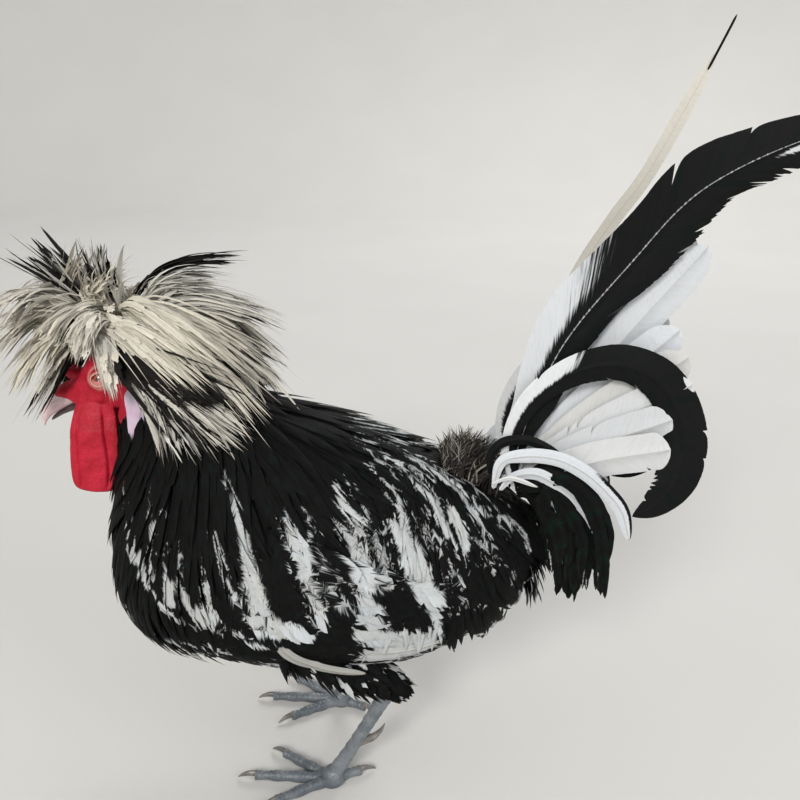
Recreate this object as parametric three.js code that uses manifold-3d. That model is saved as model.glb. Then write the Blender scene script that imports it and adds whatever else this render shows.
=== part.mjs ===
// A Polish crested cockerel, standing still, life size, in millimetres.
// The bird faces -X, its left side faces -Y and the floor is Z = 0.
import * as THREE from 'three';
import { mergeVertices } from 'three/addons/utils/BufferGeometryUtils.js';
import Module from 'manifold-3d';

const wasm = await Module();
wasm.setup();

// Driving sizes
const gap = 0.3;
const weld = 0.05;
const bodyRoundness = 2.2;
const neckBaseRib = 2.6;
const neckCoat = 5;
const lastRib = 11;
const headCentre = [-190, 0, 292];
const headPitch = 30;
const eyeRadius = 6.6;
const eyePlace = { forward: 4, out: 12.6, up: 4 };
const lidThickness = 1.9;
const lidOut = 16.4;
const lidTurn = 6;
const wattleLength = 66;
const wattleFold = 0.45;
const earlobeLength = 40;
const earlobeFold = 0.3;
const hockHeight = 90;
const legSpread = 44;
const ankleX = -38;
const toeThickness = 4.4;
const smallVane = 0.5;
const largeVane = 0.9;
const rootDepth = 5;
const rootClear = 1.2;
const hackleLift = 6;
const saddleLift = 5.5;
const saddleHalf = 9;
const wingTilt = 6;
const crestHalf = 8.5;
const fanHalf = 19;
const crestCentre = [-182, 0, 316];
const crestCore = [40, 34, 27];
const crestReach = [88, 76, 64];
const crestHang = 104;
const crestRootShare = 0.7;
const crestBendShare = 0.66;
const tailRoot = [80, 0, 226];

// The body from throat to tail root, as ribs: belly point, back point (x, z) and half width.
const ribs = [
  { belly: [-190, 262], back: [-164, 300], half: 17 },
  { belly: [-185, 240], back: [-128, 288], half: 28 },
  { belly: [-187, 207], back: [-102, 279], half: 42 },
  { belly: [-190, 166], back: [-74, 270], half: 55 },
  { belly: [-183, 126], back: [-44, 262], half: 66 },
  { belly: [-157, 102], back: [-14, 254], half: 72 },
  { belly: [-112, 90], back: [11, 246], half: 73 },
  { belly: [-60, 86], back: [32, 238], half: 70 },
  { belly: [-8, 90], back: [50, 230], half: 63 },
  { belly: [38, 106], back: [64, 222], half: 52 },
  { belly: [72, 132], back: [76, 214], half: 38 },
  { belly: [90, 164], back: [84, 206], half: 24 },
];

// The width of a feather from root to tip, as a share of its widest.
const lanceShape = [[0, 0.5], [0.3, 0.95], [0.65, 1], [0.88, 0.65], [1, 0]];
const shortShape = [[0, 0.5], [0.35, 1], [0.8, 0.85], [1, 0]];
const quillShape = [[0, 0.35], [0.3, 0.85], [0.65, 1], [0.92, 0.8], [1, 0]];
const sickleShape = [
  [0, 0.3], [0.14, 0.7], [0.3, 1], [0.46, 1], [0.62, 0.95], [0.77, 0.8], [0.9, 0.5], [1, 0],
];
const narrowShape = [[0, 0.5], [0.2, 1], [0.45, 0.95], [0.7, 0.7], [0.9, 0.45], [1, 0]];

const radians = (degrees) => (degrees * Math.PI) / 180;
const vec = (x, y, z) => new THREE.Vector3(x, y, z);
const mix = (a, b, t) => a + (b - a) * t;
const bothSides = [['left', -1], ['right', 1]];

// Repeatable random numbers from 0 to 1.
function seeded(seed) {
  let state = seed;
  return () => {
    state = (Math.imul(state, 1664525) + 1013904223) >>> 0;
    return state / 4294967296;
  };
}

// A three.js geometry as a manifold solid with its faces pointing out.
function solidFrom(geometry) {
  const bare = geometry.clone();
  bare.deleteAttribute('normal');
  bare.deleteAttribute('uv');
  const merged = mergeVertices(bare, 1e-4);
  const positions = merged.attributes.position.array;
  const faces = Array.from(merged.index.array);
  const outward = signedVolume(positions, faces) < 0
    ? faces.map((_, i) => faces[i - (i % 3) + [0, 2, 1][i % 3]])
    : faces;
  const mesh = new wasm.Mesh({ numProp: 3, vertProperties: positions, triVerts: new Uint32Array(outward) });
  return new wasm.Manifold(mesh);
}

function signedVolume(positions, faces) {
  let volume = 0;
  for (let i = 0; i < faces.length; i += 3) {
    const corner = (k) => vec(...positions.slice(3 * faces[i + k], 3 * faces[i + k] + 3));
    const [a, b, c] = [corner(0), corner(1), corner(2)];
    volume += a.dot(b.cross(c)) / 6;
  }
  return volume;
}

function solidFromFaces(positions, faces) {
  const geometry = new THREE.BufferGeometry();
  geometry.setAttribute('position', new THREE.Float32BufferAttribute(positions, 3));
  geometry.setIndex(faces);
  return solidFrom(geometry);
}

// A closed skin through rings of points. A ring of one point is a tip, and open ends get a fan.
function loft(rings) {
  const positions = [];
  const faces = [];
  const starts = rings.map((ring) => {
    const start = positions.length / 3;
    ring.forEach((p) => positions.push(p.x, p.y, p.z));
    return start;
  });
  const cap = (index, flip) => {
    const ring = rings[index];
    if (ring.length < 3) return;
    const centre = ring.reduce((sum, p) => sum.add(p), vec(0, 0, 0)).divideScalar(ring.length);
    const hub = positions.length / 3;
    positions.push(centre.x, centre.y, centre.z);
    ring.forEach((_, k) => {
      const a = starts[index] + k;
      const b = starts[index] + ((k + 1) % ring.length);
      faces.push(...(flip ? [hub, b, a] : [hub, a, b]));
    });
  };
  for (let i = 0; i + 1 < rings.length; i += 1) {
    const sides = Math.max(rings[i].length, rings[i + 1].length);
    for (let k = 0; k < sides; k += 1) {
      const next = (k + 1) % sides;
      if (rings[i + 1].length === 1) {
        faces.push(starts[i] + k, starts[i + 1], starts[i] + next);
      } else if (rings[i].length === 1) {
        faces.push(starts[i], starts[i + 1] + k, starts[i + 1] + next);
      } else {
        const [a, b, c, d] = [starts[i] + k, starts[i] + next, starts[i + 1] + next, starts[i + 1] + k];
        faces.push(...(k % 2 ? [a, d, b, d, c, b] : [a, d, c, a, c, b]));
      }
    }
  }
  cap(0, false);
  cap(rings.length - 1, true);
  return solidFromFaces(positions, faces);
}

function ellipsoid(centre, radii, { pitch = 0, grow = 0, detail = 12 } = {}) {
  const geometry = new THREE.SphereGeometry(1, detail, Math.round(detail * 0.6));
  geometry.rotateX(Math.PI / 2);
  geometry.scale(radii[0] + grow, radii[1] + grow, radii[2] + grow);
  geometry.rotateY(-radians(pitch));
  geometry.translate(...centre);
  return solidFrom(geometry);
}

// How far a grown form's end ring moves outwards along its length.
function endGrowth(index, count, grow) {
  if (index === 0) return -grow;
  return index === count - 1 ? grow : 0;
}

// A tube of oval rings along points: each station has a centre, a forward radius and a side radius.
// Whatever would reach below its floor is pressed flat on it.
function tube(stations, sides, grow = 0, floor = -Infinity) {
  const rings = stations.map((station, i) => {
    const before = stations[Math.max(0, i - 1)].at;
    const after = stations[Math.min(stations.length - 1, i + 1)].at;
    const along = after.clone().sub(before).normalize();
    const across = vec(0, 1, 0).cross(along).normalize();
    if (across.lengthSq() < 0.5) across.set(1, 0, 0);
    const side = along.clone().cross(across);
    const centre = station.at.clone().addScaledVector(along, endGrowth(i, stations.length, grow));
    return Array.from({ length: sides }, (_, k) => {
      const turn = (2 * Math.PI * (k + 0.5)) / sides;
      const point = centre.clone();
      point.addScaledVector(across, (station.deep + grow) * Math.cos(turn));
      point.addScaledVector(side, (station.wide + grow) * Math.sin(turn));
      return point.setZ(Math.max(point.z, floor));
    });
  });
  return loft(rings);
}

// A feather's vane: rings of two edges and two ridges along its path, then a pointed tip.
// Each station has a point, a normal and a half width. Both faces are split into triangles alike.
function vane(stations, { thick, cup = 0.08, tilt = 0, grow = 0 }) {
  const positions = [];
  const faces = [];
  const last = stations.length - 1;
  stations.forEach(({ at, normal, half }, i) => {
    const before = stations[Math.max(0, i - 1)].at;
    const after = stations[Math.min(last, i + 1)].at;
    const along = after.clone().sub(before).normalize();
    if (i === last) {
      const tip = at.clone().addScaledVector(along, 3 * grow);
      positions.push(tip.x, tip.y, tip.z);
      return;
    }
    const across = along.clone().cross(normal).normalize().applyAxisAngle(along, radians(tilt));
    const up = across.clone().cross(along);
    const wide = half + 3 * grow;
    const high = thick + grow;
    [[-wide, -cup * wide], [0, high], [wide, -cup * wide], [0, -high]].forEach(([x, y]) => {
      const p = at.clone().addScaledVector(across, x).addScaledVector(up, y);
      positions.push(p.x, p.y, p.z);
    });
  });
  faces.push(0, 3, 2, 0, 2, 1);
  for (let i = 0; i < last; i += 1) {
    const [l, t, r, b] = [0, 1, 2, 3].map((k) => 4 * i + k);
    if (i === last - 1) {
      const tip = 4 * last;
      faces.push(l, t, tip, t, r, tip, r, b, tip, b, l, tip);
    } else {
      const [l2, t2, r2, b2] = [l + 4, t + 4, r + 4, b + 4];
      faces.push(l, t, t2, l, t2, l2, t, r, t2, r, r2, t2, r, b, b2, r, b2, r2, b, l, b2, l, l2, b2);
    }
  }
  return solidFromFaces(positions, faces);
}

// The body's surface. Rib 0 is the throat, turn 0 is the back and 180 the belly.
const bellyLine = new THREE.CatmullRomCurve3(
  ribs.map((rib) => vec(rib.belly[0], rib.half, rib.belly[1])), false, 'catmullrom', 0.5);
const backLine = new THREE.CatmullRomCurve3(
  ribs.map((rib) => vec(rib.back[0], rib.half, rib.back[1])), false, 'catmullrom', 0.5);

function bodyShell(rib, turn, side) {
  const t = THREE.MathUtils.clamp(rib / lastRib, 0, 1);
  const belly = bellyLine.getPoint(t);
  const back = backLine.getPoint(t);
  const round = (value) => Math.sign(value) * Math.abs(value) ** (2 / bodyRoundness);
  const up = round(Math.cos(radians(turn)));
  const out = round(Math.sin(radians(turn)));
  const middle = belly.clone().add(back).multiplyScalar(0.5);
  const rise = back.clone().sub(belly).multiplyScalar(0.5 * up);
  return vec(middle.x + rise.x, side * belly.y * out, middle.z + rise.z);
}

function bodyNormal(rib, turn, side) {
  const along = bodyShell(rib + 0.05, turn, side).sub(bodyShell(rib - 0.05, turn, side));
  const around = bodyShell(rib, turn + 2, side).sub(bodyShell(rib, turn - 2, side));
  return along.cross(around).multiplyScalar(side).normalize();
}

// A point over the body at a height along its normal.
function overBody(rib, turn, side, height) {
  return bodyShell(rib, turn, side).addScaledVector(bodyNormal(rib, turn, side), height);
}

// A length of the body between two ribs, grown outwards by a coat depth.
function bodyLength(from, to, steps, sides, grow, endGrow = grow) {
  const rings = [];
  for (let i = 0; i <= steps; i += 1) {
    const rib = mix(from, to, i / steps);
    rings.push(Array.from({ length: sides }, (_, k) => overBody(rib, (360 * (k + 0.5)) / sides, -1, grow)));
  }
  [[0, from, -1], [steps, to, 1]].forEach(([index, rib, sign]) => {
    const rise = bodyShell(rib, 0, 1).sub(bodyShell(rib, 180, 1));
    const outward = vec(rise.z, 0, -rise.x).normalize().multiplyScalar(sign * endGrow);
    rings[index].forEach((p) => p.add(outward));
  });
  return loft(rings);
}

// A feather over the body from one rib and turn to another. It starts sunk in, comes out steeply and
// then rises to its tip, so that each row lies over the roots of the next.
function bodyVane({ from, to, side, base, lift, half, shape, thick = smallVane, tilt = 0 }, grow) {
  const [, [rootShare]] = shape;
  const stations = shape.map(([t, width]) => {
    const rib = mix(from[0], to[0], t);
    const turn = mix(from[1], to[1], t);
    const rise = t === 0 ? -rootDepth : mix(rootClear, lift, (t - rootShare) / (1 - rootShare));
    const at = overBody(rib, turn, side, base(rib, turn) + rise);
    return { at, normal: bodyNormal(rib, turn, side), half: half * width };
  });
  return vane(stations, { thick, tilt: side * tilt, grow });
}

// Points in the head's own frame: forward along the beak, left (-) or right (+), and up.
function headPoint(forward, side, up) {
  const a = radians(headPitch);
  const x = headCentre[0] - forward * Math.cos(a) - up * Math.sin(a);
  const z = headCentre[2] - forward * Math.sin(a) + up * Math.cos(a);
  return [x, side, z];
}

// The hackle cape: rows of long feathers round the neck that fall over the shoulders.
const hackleRows = [
  { rib: 0.75, reach: 2.3, count: 5, offset: 0.5, last: 128, half: 8 },
  { rib: 1.55, reach: 2.2, count: 7, offset: 0, last: 168, half: 9.5 },
  { rib: 2.35, reach: 2.1, count: 9, offset: 0.5, last: 180, half: 11.5 },
];
const hackleFall = 9;
const hackleBase = (rib) => mix(neckCoat + 1.5, 2, THREE.MathUtils.smoothstep(rib, neckBaseRib, 3.5));

function hackles(grow) {
  const random = seeded(11);
  const vanes = [];
  hackleRows.forEach((row) => {
    for (let k = 0; k <= row.count; k += 1) {
      const turn = ((k + row.offset) * row.last) / row.count;
      const onMiddle = turn < 1 || turn > 179;
      if (turn > 181) continue;
      bothSides.forEach(([, side]) => {
        const [wander, stretch] = [random() - 0.5, random() - 0.5];
        if (onMiddle && side > 0) return;
        const drift = onMiddle ? 0 : hackleFall * Math.sin(radians(turn)) + 5 * wander;
        const reach = row.reach + 0.25 * stretch;
        const to = [row.rib + reach, turn + drift];
        const feather = { from: [row.rib, turn], to, side, base: hackleBase, lift: hackleLift };
        vanes.push(bodyVane({ ...feather, half: row.half, shape: lanceShape }, grow));
      });
    }
  });
  return vanes;
}

function makeNeck(grow) {
  return bodyLength(0.1, neckBaseRib, 5, 14, neckCoat + grow, grow - gap);
}

// The saddle: feathers from the back that fall past the wing tips to each side of the tail.
const saddleFall = 16;
const saddleRows = [
  { rib: 6.2, reach: 2.0, turns: [10, 28, 45] },
  { rib: 7.2, reach: 1.9, turns: [18, 36, 54] },
  { rib: 8.2, reach: 1.8, turns: [10, 34, 60] },
  { rib: 9.2, reach: 1.4, turns: [26, 54, 80] },
];

function saddle(grow) {
  const random = seeded(23);
  return saddleRows.flatMap((row) => row.turns.flatMap((turn) => bothSides.map(([, side]) => {
    const fall = saddleFall * Math.sin(radians(turn)) * row.reach;
    const to = [Math.min(10.8, row.rib + row.reach + 0.2 * (random() - 0.5)), turn + fall];
    const feather = { from: [row.rib, turn], to, side, base: () => 1, lift: saddleLift };
    return bodyVane({ ...feather, half: saddleHalf, shape: shortShape }, grow);
  })));
}

function makeTorso(grow) {
  return bodyLength(neckBaseRib, lastRib, 12, 18, grow);
}

// The folded wing: a cushion of small coverts on the body's side, and tiers of long feathers on it.
const wingFront = 4.55;
const wingRear = 7.5;
const wingTop = 62;
const wingBottom = 113;
const wingRimHeight = 4;
const wingBulge = 9;
const cushionBelow = 2.8;
const cushionSunk = -3;
const cushionInset = 9;

function wingHeight(rib, turn) {
  const u = (2 * rib - wingFront - wingRear) / (wingRear - wingFront);
  const v = (2 * turn - wingTop - wingBottom) / (wingBottom - wingTop);
  return wingRimHeight + wingBulge * Math.max(0, 1 - u * u) * Math.max(0, 1 - v * v);
}

function makeWing(side, grow) {
  const [steps, across] = [6, 5];
  const rings = Array.from({ length: steps + 1 }, (_, i) => {
    const rib = mix(wingFront, wingRear, i / steps);
    const inset = cushionInset * (2 * i / steps - 1) ** 4;
    const at = (k, height) => {
      const turn = mix(wingTop + inset - grow, wingBottom - inset + grow, k / across);
      return overBody(rib, turn, side, height ?? wingHeight(rib, turn) - cushionBelow + grow);
    };
    const upper = Array.from({ length: across + 1 }, (_, k) => at(k));
    const lower = Array.from({ length: across + 1 }, (_, k) => at(across - k, cushionSunk));
    return [...upper, ...lower];
  });
  return loft(rings);
}

// Each tier runs from one root and tip pair of (rib, turn) to another, from its lowest feather up.
const wingTiers = [
  { roots: [[5.1, 108], [6.3, 105]], tips: [[8.0, 121], [8.7, 107]], count: 4, half: 6.5, lift: 1, step: 1.2,
    shape: quillShape },
  { roots: [[5.9, 103], [7.0, 72]], tips: [[7.8, 113], [8.8, 80]], count: 6, half: 8.4, lift: 3.4, step: 0,
    shape: quillShape },
  { roots: [[5.2, 104], [6.3, 70]], tips: [[6.8, 111], [7.8, 78]], count: 5, half: 9.6, lift: 4.4, step: 0,
    shape: shortShape },
  { roots: [[4.75, 98], [5.55, 72]], tips: [[6.0, 106], [6.9, 78]], count: 5, half: 8.8, lift: 4.4, step: 0,
    shape: shortShape },
];

function wingVanes(side, grow) {
  return wingTiers.flatMap((tier) => Array.from({ length: tier.count }, (_, k) => {
    const t = k / (tier.count - 1);
    const between = ([a, b]) => [mix(a[0], b[0], t), mix(a[1], b[1], t)];
    const { lift, half, shape, step } = tier;
    const base = (rib, turn) => wingHeight(rib, turn) + k * step;
    const feather = { from: between(tier.roots), to: between(tier.tips), side, base };
    return bodyVane({ ...feather, lift, half, shape, tilt: wingTilt }, grow);
  }));
}

function makeEye(side, grow) {
  const centre = headPoint(eyePlace.forward, side * eyePlace.out, eyePlace.up);
  return ellipsoid(centre, [eyeRadius, eyeRadius, eyeRadius], { grow, detail: 10 });
}

// The head as oval sections from the nape to the base of the beak.
const headSections = [
  { forward: -27, up: 3, tall: 7, wide: 7 },
  { forward: -22, up: 3, tall: 14, wide: 13 },
  { forward: -10, up: 2, tall: 20, wide: 17.5 },
  { forward: 3, up: 0, tall: 21, wide: 17.5 },
  { forward: 14, up: -2, tall: 18, wide: 14.5 },
  { forward: 24, up: -2, tall: 14.5, wide: 11.5 },
  { forward: 32, up: -2, tall: 12, wide: 9 },
];

function headRings(sections, sides, grow) {
  return sections.map(({ forward, up, tall, wide }, i) => Array.from({ length: sides }, (_, k) => {
    const turn = (2 * Math.PI * (k + 0.5)) / sides;
    const ahead = forward + endGrowth(i, sections.length, grow);
    return vec(...headPoint(ahead, (wide + grow) * Math.sin(turn), up + (tall + grow) * Math.cos(turn)));
  }));
}

// A lid is a round rim about the eye, thick above and thin below.
function makeLids(side, grow) {
  const ring = new THREE.TorusGeometry(eyeRadius - gap, lidThickness + grow, 4, 12);
  ring.rotateX(Math.PI / 2);
  ring.rotateY(-radians(headPitch));
  ring.rotateX(-side * radians(lidTurn));
  ring.translate(...headPoint(eyePlace.forward, side * lidOut, eyePlace.up));
  return solidFrom(ring);
}

function makeHead(grow) {
  return loft(headRings(headSections, 12, grow));
}

function fullHead() {
  return wasm.Manifold.union([makeHead(0), makeLids(-1, 0), makeLids(1, 0)]);
}

const upperBeak = [
  { forward: 28, up: 2, tall: 7.6, wide: 8.6 },
  { forward: 38, up: 2.4, tall: 7.4, wide: 7.6 },
  { forward: 47, up: 1.4, tall: 6.2, wide: 5.6 },
  { forward: 55, up: -0.6, tall: 4.4, wide: 3.6 },
  { forward: 61, up: -3.6, tall: 3, wide: 1.8 },
  { forward: 64, up: -7.2, tall: 1.6, wide: 0.7 },
];
const lowerBeak = [
  { forward: 26, up: -9.6, tall: 3.6, wide: 8 },
  { forward: 38, up: -8.6, tall: 3, wide: 6.6 },
  { forward: 47, up: -7.9, tall: 2.4, wide: 4.4 },
  { forward: 54, up: -7.7, tall: 1.6, wide: 2.4 },
  { forward: 57, up: -7.8, tall: 0.8, wide: 1 },
];

function makeUpperBeak(grow) {
  return loft(headRings(upperBeak, 10, grow));
}

// Raised, open nostrils stand on each side of the upper beak.
function fullUpperBeak() {
  const nostrils = bothSides.flatMap(([, side]) => [
    ellipsoid(headPoint(39, side * 5.4, 6), [6, 3.4, 3.6], { pitch: headPitch, detail: 7 })]);
  const holes = bothSides.map(([, side]) => (
    ellipsoid(headPoint(41.5, side * 8, 5.4), [2.6, 1.6, 1.1], { pitch: headPitch, detail: 5 })));
  return wasm.Manifold.union([makeUpperBeak(0), ...nostrils]).subtract(wasm.Manifold.union(holes));
}

function makeLowerBeak(grow) {
  return loft(headRings(lowerBeak, 10, grow));
}

// The comb is a small V of two fleshy points in front of the crest.
function makeComb(grow) {
  const horns = bothSides.map(([, side]) => {
    const stations = [[18, 1, 8, 4.5], [23, 2.5, 12, 4.2], [25, 5, 16.5, 3], [24.5, 7.5, 21, 1]];
    return tube(stations.map(([forward, out, up, size]) => (
      { at: vec(...headPoint(forward, side * out, up)), deep: size, wide: size })), 7, grow);
  });
  return wasm.Manifold.union(horns);
}

// A hanging lobe of skin, with a fold pressed into its outer face.
function skinLobe(rows, place, sides, fold, side, grow) {
  const rings = rows.map(([drop, deep, wide], i) => {
    const middle = place(drop);
    middle.z -= endGrowth(i, rows.length, grow);
    return Array.from({ length: sides }, (_, k) => {
      const turn = (2 * Math.PI * (k + 0.5)) / sides;
      const out = side * Math.sin(turn);
      const pressed = out > 0 ? 1 - fold * Math.exp(-((Math.cos(turn) / 0.3) ** 2)) : 1;
      const x = middle.x + (deep + grow) * Math.cos(turn);
      return vec(x, middle.y + (wide * pressed + grow) * Math.sin(turn), middle.z);
    });
  });
  return loft(rings);
}

function makeWattle(side, grow) {
  const rows = [
    [0, 8, 3], [0.1, 12, 3.8], [0.3, 15, 3.8], [0.55, 16.2, 4.2], [0.78, 15, 4.4], [0.93, 10.5, 3.6],
    [1, 4.5, 1.8],
  ];
  const place = (drop) => {
    const out = mix(8, 14, Math.min(1, drop * 3));
    return vec(-204 - 2 * drop, side * out, 278 - drop * wattleLength);
  };
  return skinLobe(rows, place, 11, wattleFold, side, grow);
}

function makeEarlobe(side, grow) {
  const rows = [[0, 4, 2], [0.12, 8.5, 3.4], [0.35, 10, 3.8], [0.65, 8, 3.4], [0.9, 4, 2.2], [1, 1.5, 1]];
  const place = (drop) => vec(-173 - 7 * drop, side * mix(19.5, 24, drop), 288 - drop * earlobeLength);
  return skinLobe(rows, place, 9, earlobeFold, side, grow);
}

// The crest: a knob of skull and down, and tiers of long feathers that rise, bend over and hang.
// A tier has elevations at root and tip, and the azimuths from the nape that it covers, in degrees.
const crestTiers = [
  { root: 80, tip: 60, count: 5, from: -144, to: 144 },
  { root: 57, tip: 30, count: 10, from: -180, to: 144 },
  { root: 33, tip: 3, count: 14, from: -167, to: 167 },
  { root: 9, tip: -22, count: 11, from: -135, to: 135 },
  { root: -12, tip: -42, count: 3, from: -88, to: -54 },
  { root: -12, tip: -42, count: 3, from: 54, to: 88 },
];

// The lowest that a crest feather hangs: high over the nape and the face, low behind the lobes.
const crestFloors = [[0, -4], [30, -16], [50, -24], [68, -38], [86, -40], [104, -10], [180, -14]];

function crestFloor(azimuth) {
  const around = Math.min(180, Math.abs(azimuth));
  const above = Math.max(1, crestFloors.findIndex(([angle]) => angle >= around));
  const [[a, low], [b, high]] = [crestFloors[above - 1], crestFloors[above]];
  return mix(low, high, (around - a) / (b - a));
}

function crestSpot(radii, azimuth, elevation, reach) {
  const [a, e] = [radians(azimuth), radians(elevation)];
  const down = elevation < 0 && radii === crestReach ? crestHang : radii[2];
  const x = crestCentre[0] + reach * radii[0] * Math.cos(e) * Math.cos(a);
  const y = reach * radii[1] * Math.cos(e) * Math.sin(a);
  return vec(x, y, crestCentre[2] + reach * down * Math.sin(e));
}

function crestVanes(grow) {
  const random = seeded(5);
  const middle = vec(...crestCentre);
  return crestTiers.flatMap((tier) => Array.from({ length: tier.count }, (_, k) => {
    const azimuth = mix(tier.from, tier.to, k / (tier.count - 1)) + 6 * (random() - 0.5);
    const twist = 8 * (random() - 0.5);
    const reach = 0.95 + 0.12 * random();
    const rise = 5 * (random() - 0.5);
    const root = middle.clone().lerp(crestSpot(crestCore, azimuth, tier.root, 1), crestRootShare);
    const bend = crestSpot(crestReach, azimuth + twist * 0.4, tier.root + 8 + rise, crestBendShare);
    const low = Math.max(tier.tip, crestFloor(azimuth)) + rise;
    const tip = crestSpot(crestReach, azimuth + twist, low, reach);
    const path = new THREE.QuadraticBezierCurve3(root, bend, tip);
    const stations = lanceShape.map(([t, width]) => {
      const at = path.getPoint(t);
      const up = at.clone().sub(middle).normalize();
      return { at, normal: up, half: crestHalf * width };
    });
    return vane(stations, { thick: smallVane, grow });
  }));
}

function makeCrestCore(grow) {
  return ellipsoid(crestCentre, crestCore, { grow, detail: 12 });
}

// Tail feathers follow curves in an upright plane and part sideways from the middle.
function tailVane({ path, side, out, spread, half, shape, thick = largeVane }, grow) {
  const points = path.map(([x, z]) => vec(x, 0, z));
  const curve = new THREE.CatmullRomCurve3(points, false, 'catmullrom', 0.5);
  const length = curve.getLength();
  const stations = shape.map(([t, width]) => {
    const at = curve.getPointAt(t);
    at.y = side * (out + spread * t * length);
    return { at, normal: vec(0, side, 0), half: half * width };
  });
  return vane(stations, { thick, cup: 0.05, grow });
}

// Seven pairs of straight main feathers make the fan, the top pair longest.
const fanLengths = [205, 200, 168, 144, 134, 126, 118];

function tailFan(grow) {
  return fanLengths.flatMap((length, j) => bothSides.map(([, side]) => {
    const rise = radians(64 - 7 * j);
    const along = (share, lean) => [
      tailRoot[0] + length * share * Math.cos(rise) - lean * Math.sin(rise),
      tailRoot[2] + length * share * Math.sin(rise) + lean * Math.cos(rise)];
    const path = [along(0, 0), along(0.5, 5), along(1, 0)];
    const placed = { path, side, out: 1.4 + 2 * j, spread: 0.018 + 0.03 * j };
    return tailVane({ ...placed, half: fanHalf, shape: quillShape }, grow);
  }));
}

// Curved feathers: main sickles, lower sickles, lesser sickles and hanging coverts.
const leftSickle = [
  [76, 228], [80, 262], [100, 327], [137, 384], [173, 429], [228, 460], [262, 463], [293, 443],
];
const rightSickle = [[74, 230], [75, 262], [94, 315], [127, 385], [158, 440], [179, 491], [193, 526]];
const lowSickle = [
  [80, 230], [82, 268], [98, 300], [124, 315], [152, 316], [172, 299], [182, 272], [178, 246], [164, 222],
];
const innerSickle = [[82, 230], [90, 262], [112, 282], [136, 278], [152, 256], [157, 224]];
const lesserSickle = [[80, 230], [84, 250], [102, 262], [124, 254], [144, 232], [156, 202]];
const coverts = [
  { path: [[82, 232], [104, 248], [130, 234], [144, 206], [148, 168]], out: 24, half: 9 },
  { path: [[80, 230], [98, 238], [118, 222], [129, 194], [132, 154]], out: 26, half: 9 },
  { path: [[80, 226], [90, 226], [104, 210], [113, 186], [114, 152]], out: 28, half: 9 },
];

function tailPlumes(grow) {
  const mainLeft = { path: leftSickle, side: -1, out: 16, spread: 0.03, half: 17, shape: sickleShape };
  const mainRight = { path: rightSickle, side: 1, out: 16, spread: 0.02, half: 9, shape: narrowShape };
  const pairs = bothSides.flatMap(([, side]) => [
    { path: lowSickle, side, out: 18, spread: 0.08, half: 15, shape: sickleShape },
    { path: innerSickle, side, out: 20, spread: 0.12, half: 9, shape: sickleShape, thick: 0.7 },
    { path: lesserSickle, side, out: 22, spread: 0.16, half: 7, shape: quillShape, thick: 0.7 },
    ...coverts.map((covert) => ({ ...covert, side, spread: 0.18, shape: quillShape, thick: 0.7 })),
  ]);
  return [mainLeft, mainRight, ...pairs].map((feather) => tailVane(feather, grow));
}

function makeTailCore(grow) {
  return ellipsoid([83, 0, 228], [24, 30, 15], { pitch: 55, grow, detail: 12 });
}

function makeThigh(side, grow) {
  const rows = [
    [-62, 40, 130, 28], [-38, 43, 113, 25], [-14, legSpread, 99, 15], [2, legSpread, hockHeight, 9],
  ];
  const stations = rows.map(([x, y, z, r]) => ({ at: vec(x, side * y, z), deep: r, wide: r * 0.85 }));
  return tube(stations, 12, grow);
}

// The shank with a ladder of scutes down its front and a spur behind.
const shankLine = [[4, 92, 7.6], [1, 82, 6.6], [-9, 62, 5.2], [-22, 36, 5], [-36, 9, 6.2]];
const shankScutes = 8;

function makeShank(side, grow) {
  const line = shankLine.map(([x, z, r]) => vec(x, r, z));
  const curve = new THREE.CatmullRomCurve3(line, false, 'catmullrom', 0.5);
  const sides = 7;
  const rings = Array.from({ length: 2 * shankScutes + 1 }, (_, i) => {
    const t = i / (2 * shankScutes);
    const middle = curve.getPoint(t);
    middle.z -= endGrowth(i, 2 * shankScutes + 1, grow);
    const raised = i % 2 ? 0.7 : 0;
    return Array.from({ length: sides }, (_unused, k) => {
      const turn = (2 * Math.PI * (k + 0.5)) / sides;
      const forward = Math.cos(turn);
      const size = middle.y + grow + (forward > 0.3 ? raised : 0);
      return vec(middle.x - size * forward, side * (legSpread + 0.8 * size * Math.sin(turn)), middle.z);
    });
  });
  return loft(rings);
}

function makeSpur(side) {
  const rows = [[-18, -3, 36, 3.6], [-9, -6, 37, 2.8], [-4, -10, 39.5, 1.6], [-1, -13.5, 43, 0.3]];
  const stations = rows.map(([x, out, z, r]) => (
    { at: vec(x, side * (legSpread + out), z), deep: r, wide: r }));
  return tube(stations, 6);
}

// Four toes with a bulge at each joint, cut flat where they press on the floor, and curved claws.
const toes = [
  { heading: 180, length: 56, joints: 3 },
  { heading: 148, length: 44, joints: 2 },
  { heading: 212, length: 44, joints: 3 },
  { heading: -24, length: 22, joints: 1 },
];

function toe({ heading, length, joints }, side, grow) {
  const direction = vec(Math.cos(radians(heading)), side * Math.sin(radians(heading)), 0);
  const hub = vec(ankleX, side * legSpread, toeThickness - 0.9);
  const rings = 2 * joints + 2;
  const stations = Array.from({ length: rings }, (_, i) => {
    const t = i / (rings - 1);
    const knuckle = i % 2 ? 0.35 : -0.2;
    const size = toeThickness * mix(1, 0.72, t) + knuckle;
    return { at: hub.clone().addScaledVector(direction, t * length), deep: size, wide: size * 0.95 };
  });
  return tube(stations, 6, grow, 0);
}

function claw({ heading, length }, side) {
  const direction = vec(Math.cos(radians(heading)), side * Math.sin(radians(heading)), 0);
  const rows = [[-3, 4.4, 2.4], [5, 4.8, 2.1], [12.5, 1.2, 0.4]];
  const hub = vec(ankleX, side * legSpread, 0);
  const stations = rows.map(([further, up, r]) => (
    { at: hub.clone().addScaledVector(direction, length + further).setZ(up), deep: r, wide: r * 0.8 }));
  return tube(stations, 5, 0, 0);
}

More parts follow.
